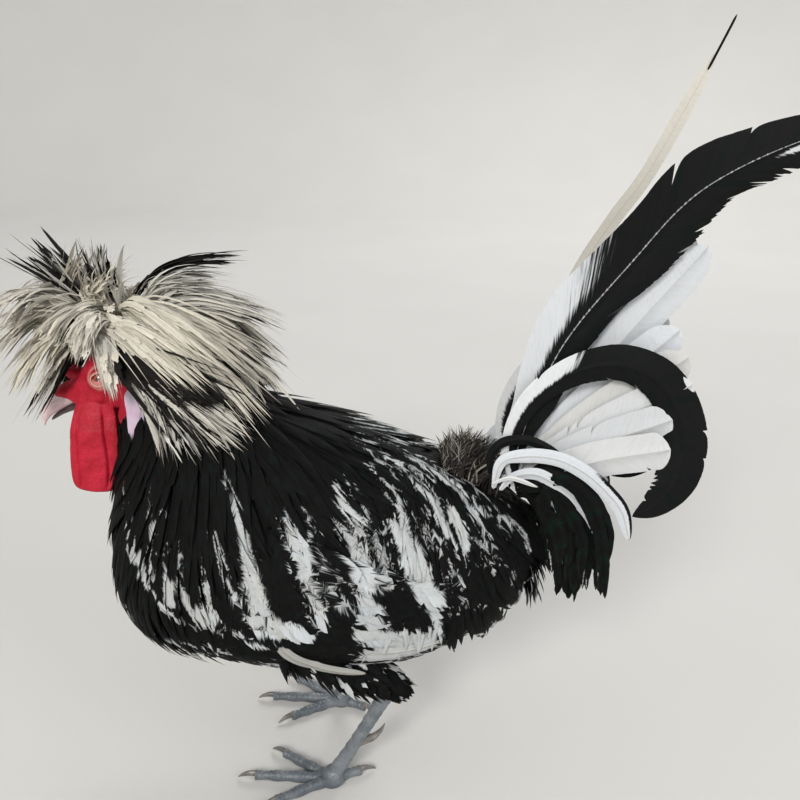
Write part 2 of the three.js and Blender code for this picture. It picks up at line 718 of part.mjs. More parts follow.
function makeFoot(side) {
  const rows = [[0, 0, 7.5], [0, 4, 9.5], [0.5, 9, 8], [1.5, 13, 5.5]];
  const pad = tube(rows.map(([back, z, r]) => (
    { at: vec(ankleX + back, side * legSpread, z), deep: r, wide: r * 0.9 })), 9);
  const parts = toes.flatMap((each) => [toe(each, side, 0), claw(each, side)]);
  return wasm.Manifold.union([pad, ...parts]);
}

// Each node, cut clear of its neighbours, keeps its largest closed surface.
function largest(solid) {
  const bodies = solid.decompose();
  bodies.sort((a, b) => b.volume() - a.volume());
  return bodies[0];
}

function cutClear(pieces, others) {
  const whole = wasm.Manifold.union(pieces);
  const cut = others.length ? whole.subtract(wasm.Manifold.union(others)) : whole;
  return largest(cut.simplify(weld));
}

const looks = {
  plumage: { color: 0x1b1b1c, roughness: 0.55, metalness: 0 },
  crestPlumage: { color: 0xcfc9bb, roughness: 0.7, metalness: 0 },
  tailPlumage: { color: 0xc9cdd0, roughness: 0.6, metalness: 0 },
  redSkin: { color: 0xb8223c, roughness: 0.5, metalness: 0 },
  lobeSkin: { color: 0xd9c7d6, roughness: 0.6, metalness: 0 },
  horn: { color: 0xc8b4ac, roughness: 0.4, metalness: 0 },
  legScale: { color: 0x4a4f55, roughness: 0.55, metalness: 0 },
  iris: { color: 0x8c2f1a, roughness: 0.1, metalness: 0 },
};

const bird = new THREE.Group();

function addNode(name, solid, look) {
  const mesh = solid.getMesh();
  const geometry = new THREE.BufferGeometry();
  geometry.setAttribute('position', new THREE.BufferAttribute(mesh.vertProperties, 3));
  geometry.setIndex(new THREE.BufferAttribute(mesh.triVerts, 1));
  geometry.computeVertexNormals();
  const node = new THREE.Mesh(geometry, new THREE.MeshStandardMaterial(looks[look]));
  node.name = name;
  bird.add(node);
}

const onBothSides = (make) => bothSides.map(([, side]) => make(side));
const torsoGap = makeTorso(gap);
const neckGap = makeNeck(gap);
const headGap = wasm.Manifold.union([makeHead(gap), makeLids(-1, gap), makeLids(1, gap)]);
const eyeGaps = onBothSides((side) => makeEye(side, gap));
const lobeGaps = onBothSides((side) => makeEarlobe(side, gap));
const wattleGaps = onBothSides((side) => makeWattle(side, gap));
const upperBeakGap = makeUpperBeak(gap);
const combGap = makeComb(gap);
const hackleGaps = hackles(gap);
const saddleGaps = saddle(gap);
const wingGaps = onBothSides((side) => makeWing(side, gap));

addNode('torso', cutClear([makeTorso(0), ...saddle(0)], []), 'plumage');
addNode('neck', cutClear([makeNeck(0), ...hackles(0)], [torsoGap, ...wattleGaps, ...lobeGaps]), 'plumage');
addNode('head', cutClear([fullHead()], [neckGap, ...hackleGaps, ...eyeGaps]), 'redSkin');
addNode('comb', cutClear([makeComb(0)], [headGap, upperBeakGap]), 'redSkin');
addNode('beak_upper', cutClear([fullUpperBeak()], [headGap, combGap]), 'horn');
addNode('beak_lower', cutClear([makeLowerBeak(0)], [headGap, upperBeakGap]), 'horn');
const nearFace = [...eyeGaps, ...lobeGaps, ...wattleGaps];
const belowCrest = [headGap, neckGap, combGap, upperBeakGap, ...hackleGaps, ...nearFace];
addNode('crest', cutClear([makeCrestCore(0), ...crestVanes(0)], belowCrest), 'crestPlumage');
const wholeTail = [makeTailCore(0), ...tailFan(0), ...tailPlumes(0)];
addNode('tail', cutClear(wholeTail, [torsoGap, ...saddleGaps]), 'tailPlumage');
bothSides.forEach(([label, side], index) => {
  const thighGap = makeThigh(side, gap);
  const besideWattle = [headGap, neckGap, upperBeakGap, makeLowerBeak(gap)];
  const wholeWing = [makeWing(side, 0), ...wingVanes(side, 0)];
  addNode(`eye_${label}`, makeEye(side, 0), 'iris');
  addNode(`wattle_${label}`, cutClear([makeWattle(side, 0)], besideWattle), 'redSkin');
  addNode(`earlobe_${label}`, cutClear([makeEarlobe(side, 0)], [headGap, neckGap]), 'lobeSkin');
  addNode(`wing_${label}`, cutClear(wholeWing, [torsoGap, ...hackleGaps, ...saddleGaps]), 'plumage');
  addNode(`thigh_${label}`, cutClear([makeThigh(side, 0)], [torsoGap, wingGaps[index]]), 'plumage');
  addNode(`shank_${label}`, cutClear([makeShank(side, 0), makeSpur(side)], [thighGap, torsoGap]), 'legScale');
  addNode(`foot_${label}`, cutClear([makeFoot(side)], [makeShank(side, gap)]), 'legScale');
});

// The origin is on the floor, under the middle of the whole bird.
const extent = new THREE.Box3().setFromObject(bird);
const middle = extent.getCenter(vec(0, 0, 0));
bird.position.set(-middle.x, -middle.y, -extent.min.z);

export default bird;
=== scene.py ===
"""A Polish crested cockerel as a still museum model: one skin, its feathers, head, legs and feet.

Shapes are made in millimetres in the bird's own frame: it faces -X, its left side faces -Y, the floor is
Z = 0. They go into the part's frame, in metres, when they become objects.
"""

import bpy
import numpy as np
from mathutils import Matrix, Vector, kdtree, noise


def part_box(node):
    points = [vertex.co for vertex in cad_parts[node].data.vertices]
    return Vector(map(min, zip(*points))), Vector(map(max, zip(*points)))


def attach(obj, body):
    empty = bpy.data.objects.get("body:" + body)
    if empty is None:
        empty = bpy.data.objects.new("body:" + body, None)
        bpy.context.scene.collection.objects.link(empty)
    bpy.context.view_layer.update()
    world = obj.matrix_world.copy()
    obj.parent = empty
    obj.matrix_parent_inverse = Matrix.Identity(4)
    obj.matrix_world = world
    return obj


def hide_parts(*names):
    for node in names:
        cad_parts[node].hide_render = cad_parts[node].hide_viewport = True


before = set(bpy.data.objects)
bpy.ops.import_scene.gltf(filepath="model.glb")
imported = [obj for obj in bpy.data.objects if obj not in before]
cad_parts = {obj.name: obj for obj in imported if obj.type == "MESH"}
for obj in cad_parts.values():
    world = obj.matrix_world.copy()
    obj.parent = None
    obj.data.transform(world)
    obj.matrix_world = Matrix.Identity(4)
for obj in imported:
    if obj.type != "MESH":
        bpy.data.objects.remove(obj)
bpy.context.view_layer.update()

SIDES = (("left", -1), ("right", 1))
MM = 0.001

# Driving sizes, in millimetres and degrees
HEAD_CENTRE = np.array([-190.0, 0.0, 292.0])
HEAD_PITCH = 30.0
EYE_FORWARD, EYE_OUT, EYE_UP = 4.0, 12.6, 4.0
EYE_RADIUS = 6.6
WATTLE_LENGTH = 66.0
EARLOBE_LENGTH = 40.0
LEG_SPREAD = 44.0
HOCK_HEIGHT = 90.0
TOE_THICKNESS = 4.4
BODY_ROUNDNESS = 2.2
CREST_CENTRE = np.array([-182.0, 0.0, 316.0])
CREST_CORE = np.array([40.0, 34.0, 27.0])
TAIL_ROOT = np.array([80.0, 0.0, 226.0])

# The body from throat to tail root: belly x, z, back x, z and half width of each rib.
RIBS = np.array([
    [-190, 262, -164, 300, 17],
    [-185, 240, -128, 288, 28],
    [-187, 207, -102, 279, 42],
    [-190, 166, -74, 270, 55],
    [-183, 126, -44, 262, 66],
    [-157, 102, -14, 254, 72],
    [-112, 90, 11, 246, 73],
    [-60, 86, 32, 238, 70],
    [-8, 90, 50, 230, 63],
    [38, 106, 64, 222, 52],
    [72, 132, 76, 214, 38],
    [90, 164, 84, 206, 24],
], float)


def mix(a, b, t):
    return a + (b - a) * t


def step(x, low, high):
    """0 below low, 1 above high and smooth between them."""
    t = np.clip((x - low) / (high - low), 0, 1)
    return t * t * (3 - 2 * t)


def unit(v):
    return v / np.maximum(np.linalg.norm(v, axis=-1, keepdims=True), 1e-9)


def cosd(angle):
    return np.cos(np.radians(angle))


def sind(angle):
    return np.sin(np.radians(angle))


def catmull(points, t):
    """Points of a smooth curve through points, where t runs from 0 to the last one's number."""
    points = np.asarray(points, float)
    ends = np.vstack([2 * points[0] - points[1], points, 2 * points[-1] - points[-2]])
    t = np.asarray(t, float)
    i = np.clip(t.astype(int), 0, len(points) - 2)
    f = (t - i)[..., None]
    a, b, c, d = (ends[i + k] for k in range(4))
    return 0.5 * (2 * b + (c - a) * f + (2 * a - 5 * b + 4 * c - d) * f**2 + (3 * b - a - 3 * c + d) * f**3)


def columns(rows, steps):
    """The columns of a table, drawn out smoothly to so many steps."""
    return np.moveaxis(catmull(rows, np.linspace(0, len(rows) - 1, steps)), -1, 0)


def bezier(root, control, tip, stations):
    t = np.linspace(0, 1, stations)[None, :, None]
    return (1 - t) ** 2 * root[:, None] + 2 * t * (1 - t) * control[:, None] + t**2 * tip[:, None]


def circle(sides):
    """The angles of the points of a ring."""
    return 360 * (np.arange(sides) + 0.5) / sides


def head_point(forward, out, up):
    """A point in the head's own frame, forward along the beak, out to the right and up."""
    forward, out, up = np.broadcast_arrays(*(np.asarray(v, float) for v in (forward, out, up)))
    x = HEAD_CENTRE[0] - forward * cosd(HEAD_PITCH) - up * sind(HEAD_PITCH)
    z = HEAD_CENTRE[2] - forward * sind(HEAD_PITCH) + up * cosd(HEAD_PITCH)
    return np.stack([x, out, z], -1)


AHEAD = head_point(1, 0, 0) - head_point(0, 0, 0)
UPWARD = head_point(0, 0, 1) - head_point(0, 0, 0)
left_eye = sum(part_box("eye_left"), Vector()) / 2
SHIFT = left_eye.x / MM - head_point(EYE_FORWARD, -EYE_OUT, EYE_UP)[0]


def to_frame(points):
    return (np.asarray(points, float) + [SHIFT, 0, 0]) * MM


# Meshes

def add_attribute(mesh, key, values):
    layer = mesh.attributes.new(key, "FLOAT_VECTOR", "POINT")
    layer.data.foreach_set("vector", np.asarray(values, np.float32).ravel())


def add_uv(mesh, uv):
    """The unwrap for baking, from a place for each point."""
    corners = np.empty(len(mesh.loops), np.int32)
    mesh.loops.foreach_get("vertex_index", corners)
    layer = mesh.uv_layers.new(name="OFBake")
    layer.data.foreach_set("uv", np.asarray(uv, np.float32)[corners].ravel())


def mesh_object(name, points, faces, attributes=None, uv=None, sharp=None):
    """An object from points in millimetres. attributes are per point, uv is per point, and edges between
    two points marked in sharp are creases."""
    mesh = bpy.data.meshes.new(name)
    mesh.from_pydata(to_frame(points), [], faces)
    mesh.update()
    mesh.polygons.foreach_set("use_smooth", np.ones(len(mesh.polygons), bool))
    for key, values in (attributes or {}).items():
        add_attribute(mesh, key, values)
    if uv is not None:
        add_uv(mesh, uv)
    if sharp is not None:
        pairs = np.empty(2 * len(mesh.edges), np.int32)
        mesh.edges.foreach_get("vertices", pairs)
        creased = sharp[pairs.reshape(-1, 2)].all(1)
        layer = mesh.attributes.new("sharp_edge", "BOOLEAN", "EDGE")
        layer.data.foreach_set("value", creased)
    piece = bpy.data.objects.new(name, mesh)
    bpy.context.scene.collection.objects.link(piece)
    return piece


def loft(rings):
    """A closed surface through rings of points, with a fan over each end."""
    rings = np.asarray(rings, float)
    count, sides = rings.shape[:2]
    points = np.vstack([rings.reshape(-1, 3), rings[0].mean(0), rings[-1].mean(0)])
    k = np.arange(sides)
    after = (k + 1) % sides
    faces = []
    for i in range(count - 1):
        a, b = i * sides, (i + 1) * sides
        faces.append(np.stack([a + k, b + k, b + after, a + after], 1))
    quads = np.vstack(faces)
    last = (count - 1) * sides
    first_cap = np.stack([np.full(sides, count * sides), k, after], 1)
    last_cap = np.stack([np.full(sides, count * sides + 1), last + after, last + k], 1)
    return points, quads.tolist() + first_cap.tolist() + last_cap.tolist()


def evaluated(piece):
    """The object with its modifiers applied."""
    mesh = bpy.data.meshes.new_from_object(piece.evaluated_get(bpy.context.evaluated_depsgraph_get()))
    piece.modifiers.clear()
    old = piece.data
    piece.data = mesh
    bpy.data.meshes.remove(old)
    return piece


def join(pieces):
    with bpy.context.temp_override(active_object=pieces[0], selected_editable_objects=pieces):
        bpy.ops.object.join()
    return pieces[0]


def of_points(piece, key):
    flat = np.empty(3 * len(piece.data.vertices))
    piece.data.vertices.foreach_get(key, flat)
    return flat.reshape(-1, 3)


def positions(piece):
    """The points of an object, in millimetres in the bird's frame."""
    return of_points(piece, "co") / MM - [SHIFT, 0, 0]


def normals(piece):
    return of_points(piece, "normal")


def move(piece, offsets):
    piece.data.vertices.foreach_set("co", to_frame(positions(piece) + offsets).ravel())
    piece.data.update()


def bumps(points, scale, seed):
    """Smooth noise from -1 to 1 at each point, with features about scale millimetres wide."""
    return np.array([noise.noise(Vector(p) / scale + Vector((seed, 0, 0))) for p in points])


# The body's surface

def rounded(value):
    return np.sign(value) * np.abs(value) ** (2 / BODY_ROUNDNESS)


def on_rib(rib, turn, side=1):
    """A point of a rounded section. rib is its belly x, z, back x, z and half width, turn 0 is the back."""
    belly_x, belly_z, back_x, back_z, half = rib
    rise = 0.5 + 0.5 * rounded(cosd(turn))
    x, z = mix(belly_x, back_x, rise), mix(belly_z, back_z, rise)
    return np.stack(np.broadcast_arrays(x, side * half * rounded(sind(turn)), z), -1)


def shell(rib, turn, side):
    """A point of the body. Rib 0 is the throat and 11 the tail root, turn 0 the back and 180 the belly."""
    rib, turn, side = np.broadcast_arrays(rib, turn, side)
    return on_rib(np.moveaxis(catmull(RIBS, rib), -1, 0), turn, side)


def shell_normal(rib, turn, side):
    along = shell(rib + 0.05, turn, side) - shell(rib - 0.05, turn, side)
    around = shell(rib, turn + 2, side) - shell(rib, turn - 2, side)
    side = np.broadcast_to(side, along.shape[:-1])
    return unit(np.cross(along, around) * side[..., None])


def over_body(rib, turn, side, height):
    height = np.broadcast_to(height, np.broadcast(rib, turn, side).shape)
    return shell(rib, turn, side) + shell_normal(rib, turn, side) * height[..., None]


def speeds(rib, turn, side):
    """Millimetres for each rib and for each degree of turn."""
    along = np.linalg.norm(shell(rib + 0.1, turn, side) - shell(rib - 0.1, turn, side), axis=-1) / 0.2
    around = np.linalg.norm(shell(rib, turn + 3, side) - shell(rib, turn - 3, side), axis=-1) / 6
    return np.maximum(along, 8), np.maximum(around, 0.2)


def unwrap(rib, turn, side):
    """A place on the body as a place on its own flat unwrap."""
    return np.stack([0.05 + 0.9 * np.clip(rib / 11.5, 0, 1), 0.5 + side * 0.0025 * np.clip(turn, 0, 180)], -1)


# The white marks of the body

# Each mark: how white, half width at its start and end, and its middle line as (rib, turn) on the left side.
MARKS = [
    # Shoulder and breast
    (0.75, 1.8, 8.0, [(2.85, 66), (3.35, 69), (3.8, 73), (4.4, 81), (4.85, 88), (5.25, 93), (5.4, 98)]),
    (0.7, 1.5, 3.1, [(3.65, 83), (4.1, 86), (4.5, 91), (4.9, 95)]),
    (0.95, 2.8, 5.2, [(4.35, 61), (4.8, 67), (5.15, 72), (5.45, 78)]),
    (0.6, 5.0, 4.0, [(5.4, 77), (5.75, 82), (6.05, 87)]),
    (0.9, 2.8, 2.8, [(6.0, 86), (6.35, 93)]),
    (0.4, 3.6, 4.2, [(4.2, 62), (4.55, 66), (4.85, 72)]),
    (0.95, 5.0, 6.0, [(5.6, 95), (6.1, 97), (5.75, 100)]),
    (0.6, 1.6, 1.6, [(4.65, 56), (4.95, 61), (5.15, 67)]),
    # Low breast and the outline of the chest
    (0.9, 2.8, 2.8, [(3.8, 107), (4.2, 113)]),
    (0.95, 4.0, 5.5, [(4.15, 106), (4.5, 108), (4.85, 110)]),
    (0.8, 2.1, 2.1, [(4.15, 94), (4.5, 100)]),
    (0.9, 2.8, 2.8, [(4.65, 103), (5.0, 108)]),
    (0.8, 1.6, 1.8, [(2.4, 125), (2.8, 126)]),
    (0.85, 2.4, 2.8, [(2.95, 122), (3.3, 121), (3.65, 120)]),
    (0.7, 1.6, 1.8, [(3.1, 111), (3.7, 116)]),
    (0.8, 1.6, 2.4, [(2.6, 126), (3.45, 123), (3.95, 118), (4.5, 116)]),
    (0.55, 1.4, 1.6, [(2.0, 98), (2.45, 104), (3.0, 108)]),
    (0.6, 1.4, 1.6, [(1.7, 129), (2.15, 127)]),
    (0.55, 1.4, 1.6, [(3.1, 100), (3.35, 100)]),
    (0.55, 1.4, 1.6, [(3.4, 97), (3.75, 98)]),
    (0.55, 1.4, 1.8, [(4.1, 96), (4.35, 99)]),
    (0.75, 2.4, 3.0, [(5.2, 107), (5.7, 108)]),
    # Wing
    (0.9, 2.0, 3.1, [(4.75, 43), (5.15, 49), (5.75, 55)]),
    (0.6, 1.4, 1.4, [(4.75, 35), (5.0, 40), (5.15, 43)]),
    (0.65, 3.2, 4.2, [(5.2, 56), (5.55, 59), (5.75, 62)]),
    (0.88, 5.0, 6.2, [(5.8, 63), (6.15, 68), (6.5, 75)]),
    (0.55, 2.8, 2.8, [(5.6, 70), (5.95, 78), (6.3, 86)]),
    (0.6, 2.6, 3.4, [(6.0, 56), (6.6, 67), (6.85, 75)]),
    (0.97, 2.2, 7.6, [(6.1, 49), (6.5, 54), (6.9, 60), (7.35, 68), (7.85, 81)]),
    (1.0, 8.0, 11.5, [(7.1, 96), (7.7, 102), (8.25, 107)]),
    (1.0, 8.5, 8.5, [(7.4, 106), (8.1, 111)]),
    (0.95, 6.0, 6.0, [(7.2, 112), (8.0, 119)]),
    (1.0, 5.5, 7.5, [(6.5, 81), (6.9, 89), (7.2, 96)]),
    (0.9, 2.8, 2.8, [(8.1, 87), (8.35, 98), (8.25, 106)]),
    (0.9, 3.0, 4.0, [(7.55, 109), (8.05, 118)]),
    # Back and saddle
    (0.7, 2.8, 4.1, [(5.5, 33), (6.05, 38), (6.5, 48), (6.9, 57)]),
    (0.85, 2.2, 3.0, [(5.9, 24), (6.7, 31), (7.25, 41), (7.7, 51)]),
    (0.95, 2.6, 3.4, [(7.4, 36), (7.85, 44), (8.3, 57)]),
    (0.8, 1.6, 1.8, [(6.95, 18), (7.8, 27), (8.6, 42)]),
    (0.75, 1.7, 2.0, [(8.05, 33), (8.8, 47)]),
    (0.75, 1.4, 1.8, [(7.3, 12), (8.35, 18), (9.35, 34), (9.85, 50)]),
    (0.8, 1.6, 2.2, [(4.35, 10), (5.05, 14), (5.8, 23)]),
    (0.8, 1.6, 2.2, [(4.3, 1), (4.85, 1), (5.35, 4), (5.9, 10)]),
    (0.8, 1.6, 2.2, [(5.05, 4), (5.85, 9), (6.55, 16), (7.25, 23)]),
    (0.7, 1.4, 1.4, [(4.9, 24), (5.3, 31)]),
    (0.7, 1.4, 1.4, [(5.5, 25), (5.75, 30)]),
    (0.65, 2.4, 3.0, [(9.6, 34), (10.2, 45), (10.6, 58), (10.8, 75)]),
    (0.6, 1.5, 1.5, [(10.0, 78), (10.1, 95)]),
    (0.65, 1.5, 1.8, [(8.1, 83), (8.4, 94)]),
    (0.65, 1.5, 1.8, [(7.4, 50), (8.25, 70), (8.55, 76)]),
]
# The last rib and turn of the field of marks, and its steps.
FIELD_RIB, FIELD_TURN = 11.5, 180
RIB_STEP, TURN_STEP = 0.05, 1.0


def hidden_marks(rng):
    """Marks under the belly and behind the legs, where the bird is mottled all over."""
    marks = []
    for _ in range(60):
        rib, turn = rng.uniform(4.6, 10.6), rng.uniform(122, 176)
        turn_after = turn + rng.uniform(-4, 5)
        half = rng.uniform(1.8, 4.2)
        white = rng.uniform(0.6, 0.95)
        marks.append((white, half, half, [(rib, turn), (rib + rng.uniform(0.3, 0.6), turn_after)]))
    return marks


# Where fine streaks lie among the marks: how many, from and to which rib and turn.
STREAKED = [
    (46, 5.0, 7.0, 46, 84),
    (34, 5.8, 9.4, 14, 52),
    (16, 4.3, 7.0, 3, 22),
    (12, 7.6, 9.2, 55, 90),
    (14, 2.4, 4.8, 88, 118),
]


def fine_streaks(rng):
    """Thin streaks along the lie of the feathers."""
    marks = []
    for count, first, last, top, bottom in STREAKED:
        for _ in range(count):
            rib, turn = rng.uniform(first, last), rng.uniform(top, bottom)
            long = rng.uniform(0.3, 0.75)
            slope = 14 * sind(turn) + 2
            half = rng.uniform(0.9, 1.7)
            white = rng.uniform(0.45, 0.75)
            marks.append((white, 0.6 * half, half, [(rib, turn), (rib + long, turn + long * slope)]))
    return marks


def field_of(marks, rng, drift):
    """How white each place of one side of the body is. drift is how far marks wander, in rib and turn."""
    rib = np.arange(0, FIELD_RIB + RIB_STEP, RIB_STEP)
    turn = np.arange(0, FIELD_TURN + TURN_STEP, TURN_STEP)
    rib, turn = np.meshgrid(rib, turn, indexing="ij")
    along, around = speeds(rib, turn, -1.0)
    white = np.zeros_like(rib)
    for strength, first, last, line in marks:
        line = np.array(line, float) + rng.uniform(-1, 1, 2) * drift
        stops = np.linspace(0, len(line) - 1, 9 * len(line))
        for (at_rib, at_turn), share in zip(catmull(line, stops), stops / stops[-1]):
            apart = np.hypot((rib - at_rib) * along, (turn - at_turn) * around) / mix(first, last, share)
            fade = mix(0.72, 1.0, min(1.0, 2.5 * share))
            white = np.maximum(white, strength * fade * (1 - step(apart, 0.35, 1.55)))
    return white


def all_marks(seed):
    return MARKS + hidden_marks(np.random.default_rng(seed)) + fine_streaks(np.random.default_rng(seed + 1))


FIELDS = {
    -1: field_of(all_marks(51), np.random.default_rng(55), np.array([0.0, 0.0])),
    1: field_of(all_marks(53), np.random.default_rng(56), np.array([0.25, 5.0])),
}


def marks_at(rib, turn, side):
    """How white the body is at a rib and turn, the same on feathers and skin."""
    i = np.clip(np.round(rib / RIB_STEP), 0, FIELDS[1].shape[0] - 1).astype(int)
    j = np.clip(np.round(np.abs(turn) / TURN_STEP), 0, FIELDS[1].shape[1] - 1).astype(int)
    return np.where(side > 0, FIELDS[1][i, j], FIELDS[-1][i, j])


def marks_under(rib, turn, side, across, ahead, rng):
    """The marks at points of feathers that lie across and ahead, in millimetres, of a path over the body.
    Each feather carries them a little out of place."""
    ahead = ahead + rng.normal(0, 3.0, (len(rib), 1, 1))
    across = across + rng.normal(0, 1.1, (len(rib), 1, 1))
    along, around = speeds(rib, turn, side)
    forward = np.stack([np.gradient(rib, axis=1) * along, np.gradient(turn, axis=1) * around], -1)
    forward = unit(forward)[:, :, None]
    belly = -side[..., None] * across
    rib_at = rib[..., None] + (ahead * forward[..., 0] - belly * forward[..., 1]) / along[..., None]
    turn_at = turn[..., None] + (ahead * forward[..., 1] + belly * forward[..., 0]) / around[..., None]
    return marks_at(rib_at, turn_at, side[..., None])


# Feathers

def feather_width(t, base, full, taper, power):
    """The width of a feather from root to tip, as a share of its widest."""
    rise = base + (1 - base) * np.sin(np.pi / 2 * np.minimum(1, t / full))
    return rise * (1 - np.clip((t - taper) / (1 - taper), 0, 1) ** 2) ** power


WIDTHS = {
    "lance": (0.4, 0.35, 0.4, 1.1),
    "contour": (0.4, 0.4, 0.55, 0.6),
    "quill": (0.3, 0.3, 0.78, 0.5),
    "sickle": (0.2, 0.25, 0.45, 0.95),
    "strap": (0.6, 0.1, 0.84, 0.55),
    "hook": (0.15, 0.8, 0.8, 0.8),
    "plume": (0.25, 0.45, 0.5, 0.9),
}

# Points round a feather's section: place across from -1 to 1 and height as a share of its thickness.
SECTIONS = {
    "small": [(-1, 0), (0, 1), (1, 0), (0, -0.6)],
    "vane": [(-1, 0), (-0.5, 0.7), (0, 1), (0.5, 0.7), (1, 0), (0, -0.5)],
    "quill": [(-1, 0), (-0.55, 0.35), (-0.06, 0.5), (0, 1.3), (0.06, 0.5), (0.55, 0.35), (1, 0),
              (0.55, -0.2), (0, -0.8), (-0.55, -0.2)],
    "broad": [(-1, 0), (-0.85, 0.15), (-0.65, 0.3), (-0.45, 0.4), (-0.25, 0.45), (-0.06, 0.5), (0, 1.2),
              (0.06, 0.5), (0.25, 0.45), (0.45, 0.4), (0.65, 0.3), (0.85, 0.15), (1, 0), (0.55, -0.2),
              (0, -0.8), (-0.55, -0.2)],
}

BLACK, WHITE, TIP, STREAK, HALF, DARK_TIP, LACED, SHAFT, GREY = range(9)


def markings(kind, across, along, rng):
    """How white each point of each feather is, from 0 to 1, for feathers marked one by one."""
    shift = rng.uniform(-0.08, 0.08, (len(kind), 1, 1))
    swap = rng.choice([-1, 1], (len(kind), 1, 1))
    t = along[None, :, None] + shift
    x = across[None, None, :] * swap
    wide = np.abs(x) + 0 * t
    looks = [
        0 * wide,
        1 + 0 * wide,
        step(t, 0.6, 0.85) + 0 * x,
        (1 - step(wide, 0.3, 0.75)) * step(t, 0.1, 0.3) * (1 - step(t, 0.86, 0.98)),
        step(x, -0.15, 0.4) + 0 * t,
        1 - step(t, 0.72, 0.95) + 0 * x,
        (1 - step(wide, 0.75, 1.15)) * (1 - step(t, 0.8, 0.98)),
        0.62 * (1 - step(wide, 0.0, 0.45)) + 0 * t,
        1 + 0 * wide,
    ]
    return np.choose(kind[:, None, None], looks)


def ragged_edge(count, stations, fray, splits, depth, rng):
    """The width of one side of each vane: barbs of uneven length, and splits that close again gradually."""
    t = np.linspace(0, 1, stations)
    torn = rng.random((count, stations)) < splits * (0.4 + 1.6 * t)
    torn = torn * rng.uniform(0.3, 1.0, (count, stations)) * (depth * step(t, 0.12, 0.3))
    open_ = np.zeros((count, stations))
    gap = np.zeros(count)
    for i in range(stations):
        gap = np.maximum(torn[:, i], 0.55 * gap)
        open_[:, i] = gap
    return (1 - open_) * (1 - fray * rng.random((count, stations)))


def plumes(path, up, half, width, section, thick, kind, root_uv, rng, cup=0.12, slant=1.8, fray=0.1,
           splits=0.05, depth=0.5, warm=0.0, vanes=(1.0, 1.0), frays=(1.0, 1.0), paint=None, grey=0.0,
           place=None):
    """Many feathers as closed meshes. path and up hold each one's points and normals, half its half width.
    Their edges are cut into barbs that slant to the tip, fray deep, with splits here and there. vanes and
    frays are the size and roughness of each side. place holds the rib, turn and side of each point of the
    path where the body's marks run over the feathers."""
    count, stations = path.shape[:2]
    ring = np.array(SECTIONS[section])
    across, height = ring[:, 0], ring[:, 1]
    t = np.linspace(0, 1, stations)
    along = unit(np.gradient(path, axis=1))
    side = unit(np.cross(along, up))
    up = np.cross(side, along)
    widths = feather_width(t, *WIDTHS[width])[None, :] * half[:, None]
    edges = [size * ragged_edge(count, stations, fray * rough, splits * rough, depth, rng)
             for size, rough in zip(vanes, frays)]
    edge = np.where(across < 0, edges[0][..., None], edges[1][..., None])
    edge = np.where(np.abs(across) < 0.3, 1, edge)
    x = across * edge * widths[..., None]
    rim = np.abs(x)
    z = height * np.minimum(thick, 0.15 * widths + 0.05)[..., None] - cup * rim**2 / half[:, None, None]
    ahead = slant * rim * (1 - t**3)[None, :, None]
    points = path[:, :, None, :] + side[:, :, None, :] * x[..., None] + up[:, :, None, :] * z[..., None]
    points += along[:, :, None, :] * ahead[..., None]

    length = np.linalg.norm(np.diff(path, axis=1), axis=-1).sum(1)
    white = markings(kind, across, t, rng)
    if paint is not None:
        white = paint(across[None, None, :], t[None, :, None]) + 0 * white
    if place is not None:
        white = np.where((kind == BLACK)[:, None, None], marks_under(*place, x, ahead, rng), white)
    tone = np.broadcast_to(rng.random((count, 1, 1)), white.shape)
    warmth = np.broadcast_to(np.asarray(warm) * np.ones(count), (count,))[:, None, None]
    warmth = np.clip(warmth + rng.normal(0, 0.12, (count, 1, 1)), 0, 1) + 0 * white
    barb = t[None, :, None] * length[:, None, None] + 0 * x
    look = np.stack([white, tone, warmth], -1)
    shade = np.asarray(grey) * np.ones(count) + 0.1 * rng.random(count)
    shade = shade[:, None, None] * (0.75 + 0.5 * t[None, :, None]) + 0 * white
    shade = np.where((kind == GREY)[:, None, None], 0.25 + 0.4 * tone, shade)
    vane = np.stack([x, barb + 1000 * tone, shade], -1)
    uv = root_uv[:, None, None, :] + 0.003 * np.stack(np.broadcast_arrays(
        0.5 * across, t[None, :, None] - 0.5 + 0 * x), -1)

    sides = len(ring)
    body = (stations - 1) * sides
    per = body + 1

    def keep(values):
        rings = values[:, :-1].reshape(count, body, -1)
        return np.concatenate([rings, values[:, -1, :1]], 1).reshape(count * per, -1)

    tip = path[:, -1]
    points[:, -1] = tip[:, None, :]
    k = np.arange(sides)
    after = (k + 1) % sides
    faces = []
    for i in range(stations - 2):
        a, b = i * sides, (i + 1) * sides
        faces.append(np.stack([a + k, a + after, b + k], 1))
        faces.append(np.stack([a + after, b + after, b + k], 1))
    last = (stations - 2) * sides
    faces.append(np.stack([last + k, last + after, np.full(sides, body)], 1))
    middle = np.arange(1, sides - 1)
    faces.append(np.stack([np.zeros(sides - 2, int), middle + 1, middle], 1))
    faces = np.vstack(faces)
    all_faces = (faces[None] + per * np.arange(count)[:, None, None]).reshape(-1, 3)
    creased = np.concatenate([np.tile(np.abs(across) == 1, stations - 1), [True]])
    return {"points": keep(points), "faces": all_faces, "look": keep(look), "vane": keep(vane),
            "uv": keep(uv), "sharp": np.tile(creased, count)}


def coat(name, groups, material, slot, nodes=()):
    """One object from groups of feathers."""
    starts = np.cumsum([0] + [len(g["points"]) for g in groups])
    keys = ("points", "look", "vane", "uv", "sharp")
    stack = {key: np.concatenate([g[key] for g in groups]) for key in keys}
    faces = np.concatenate([g["faces"] + start for g, start in zip(groups, starts)])
    piece = mesh_object(name, stack["points"], faces, {"look": stack["look"], "vane": stack["vane"]},
                        stack["uv"], stack["sharp"])
    return finish_piece(piece, material, nodes)


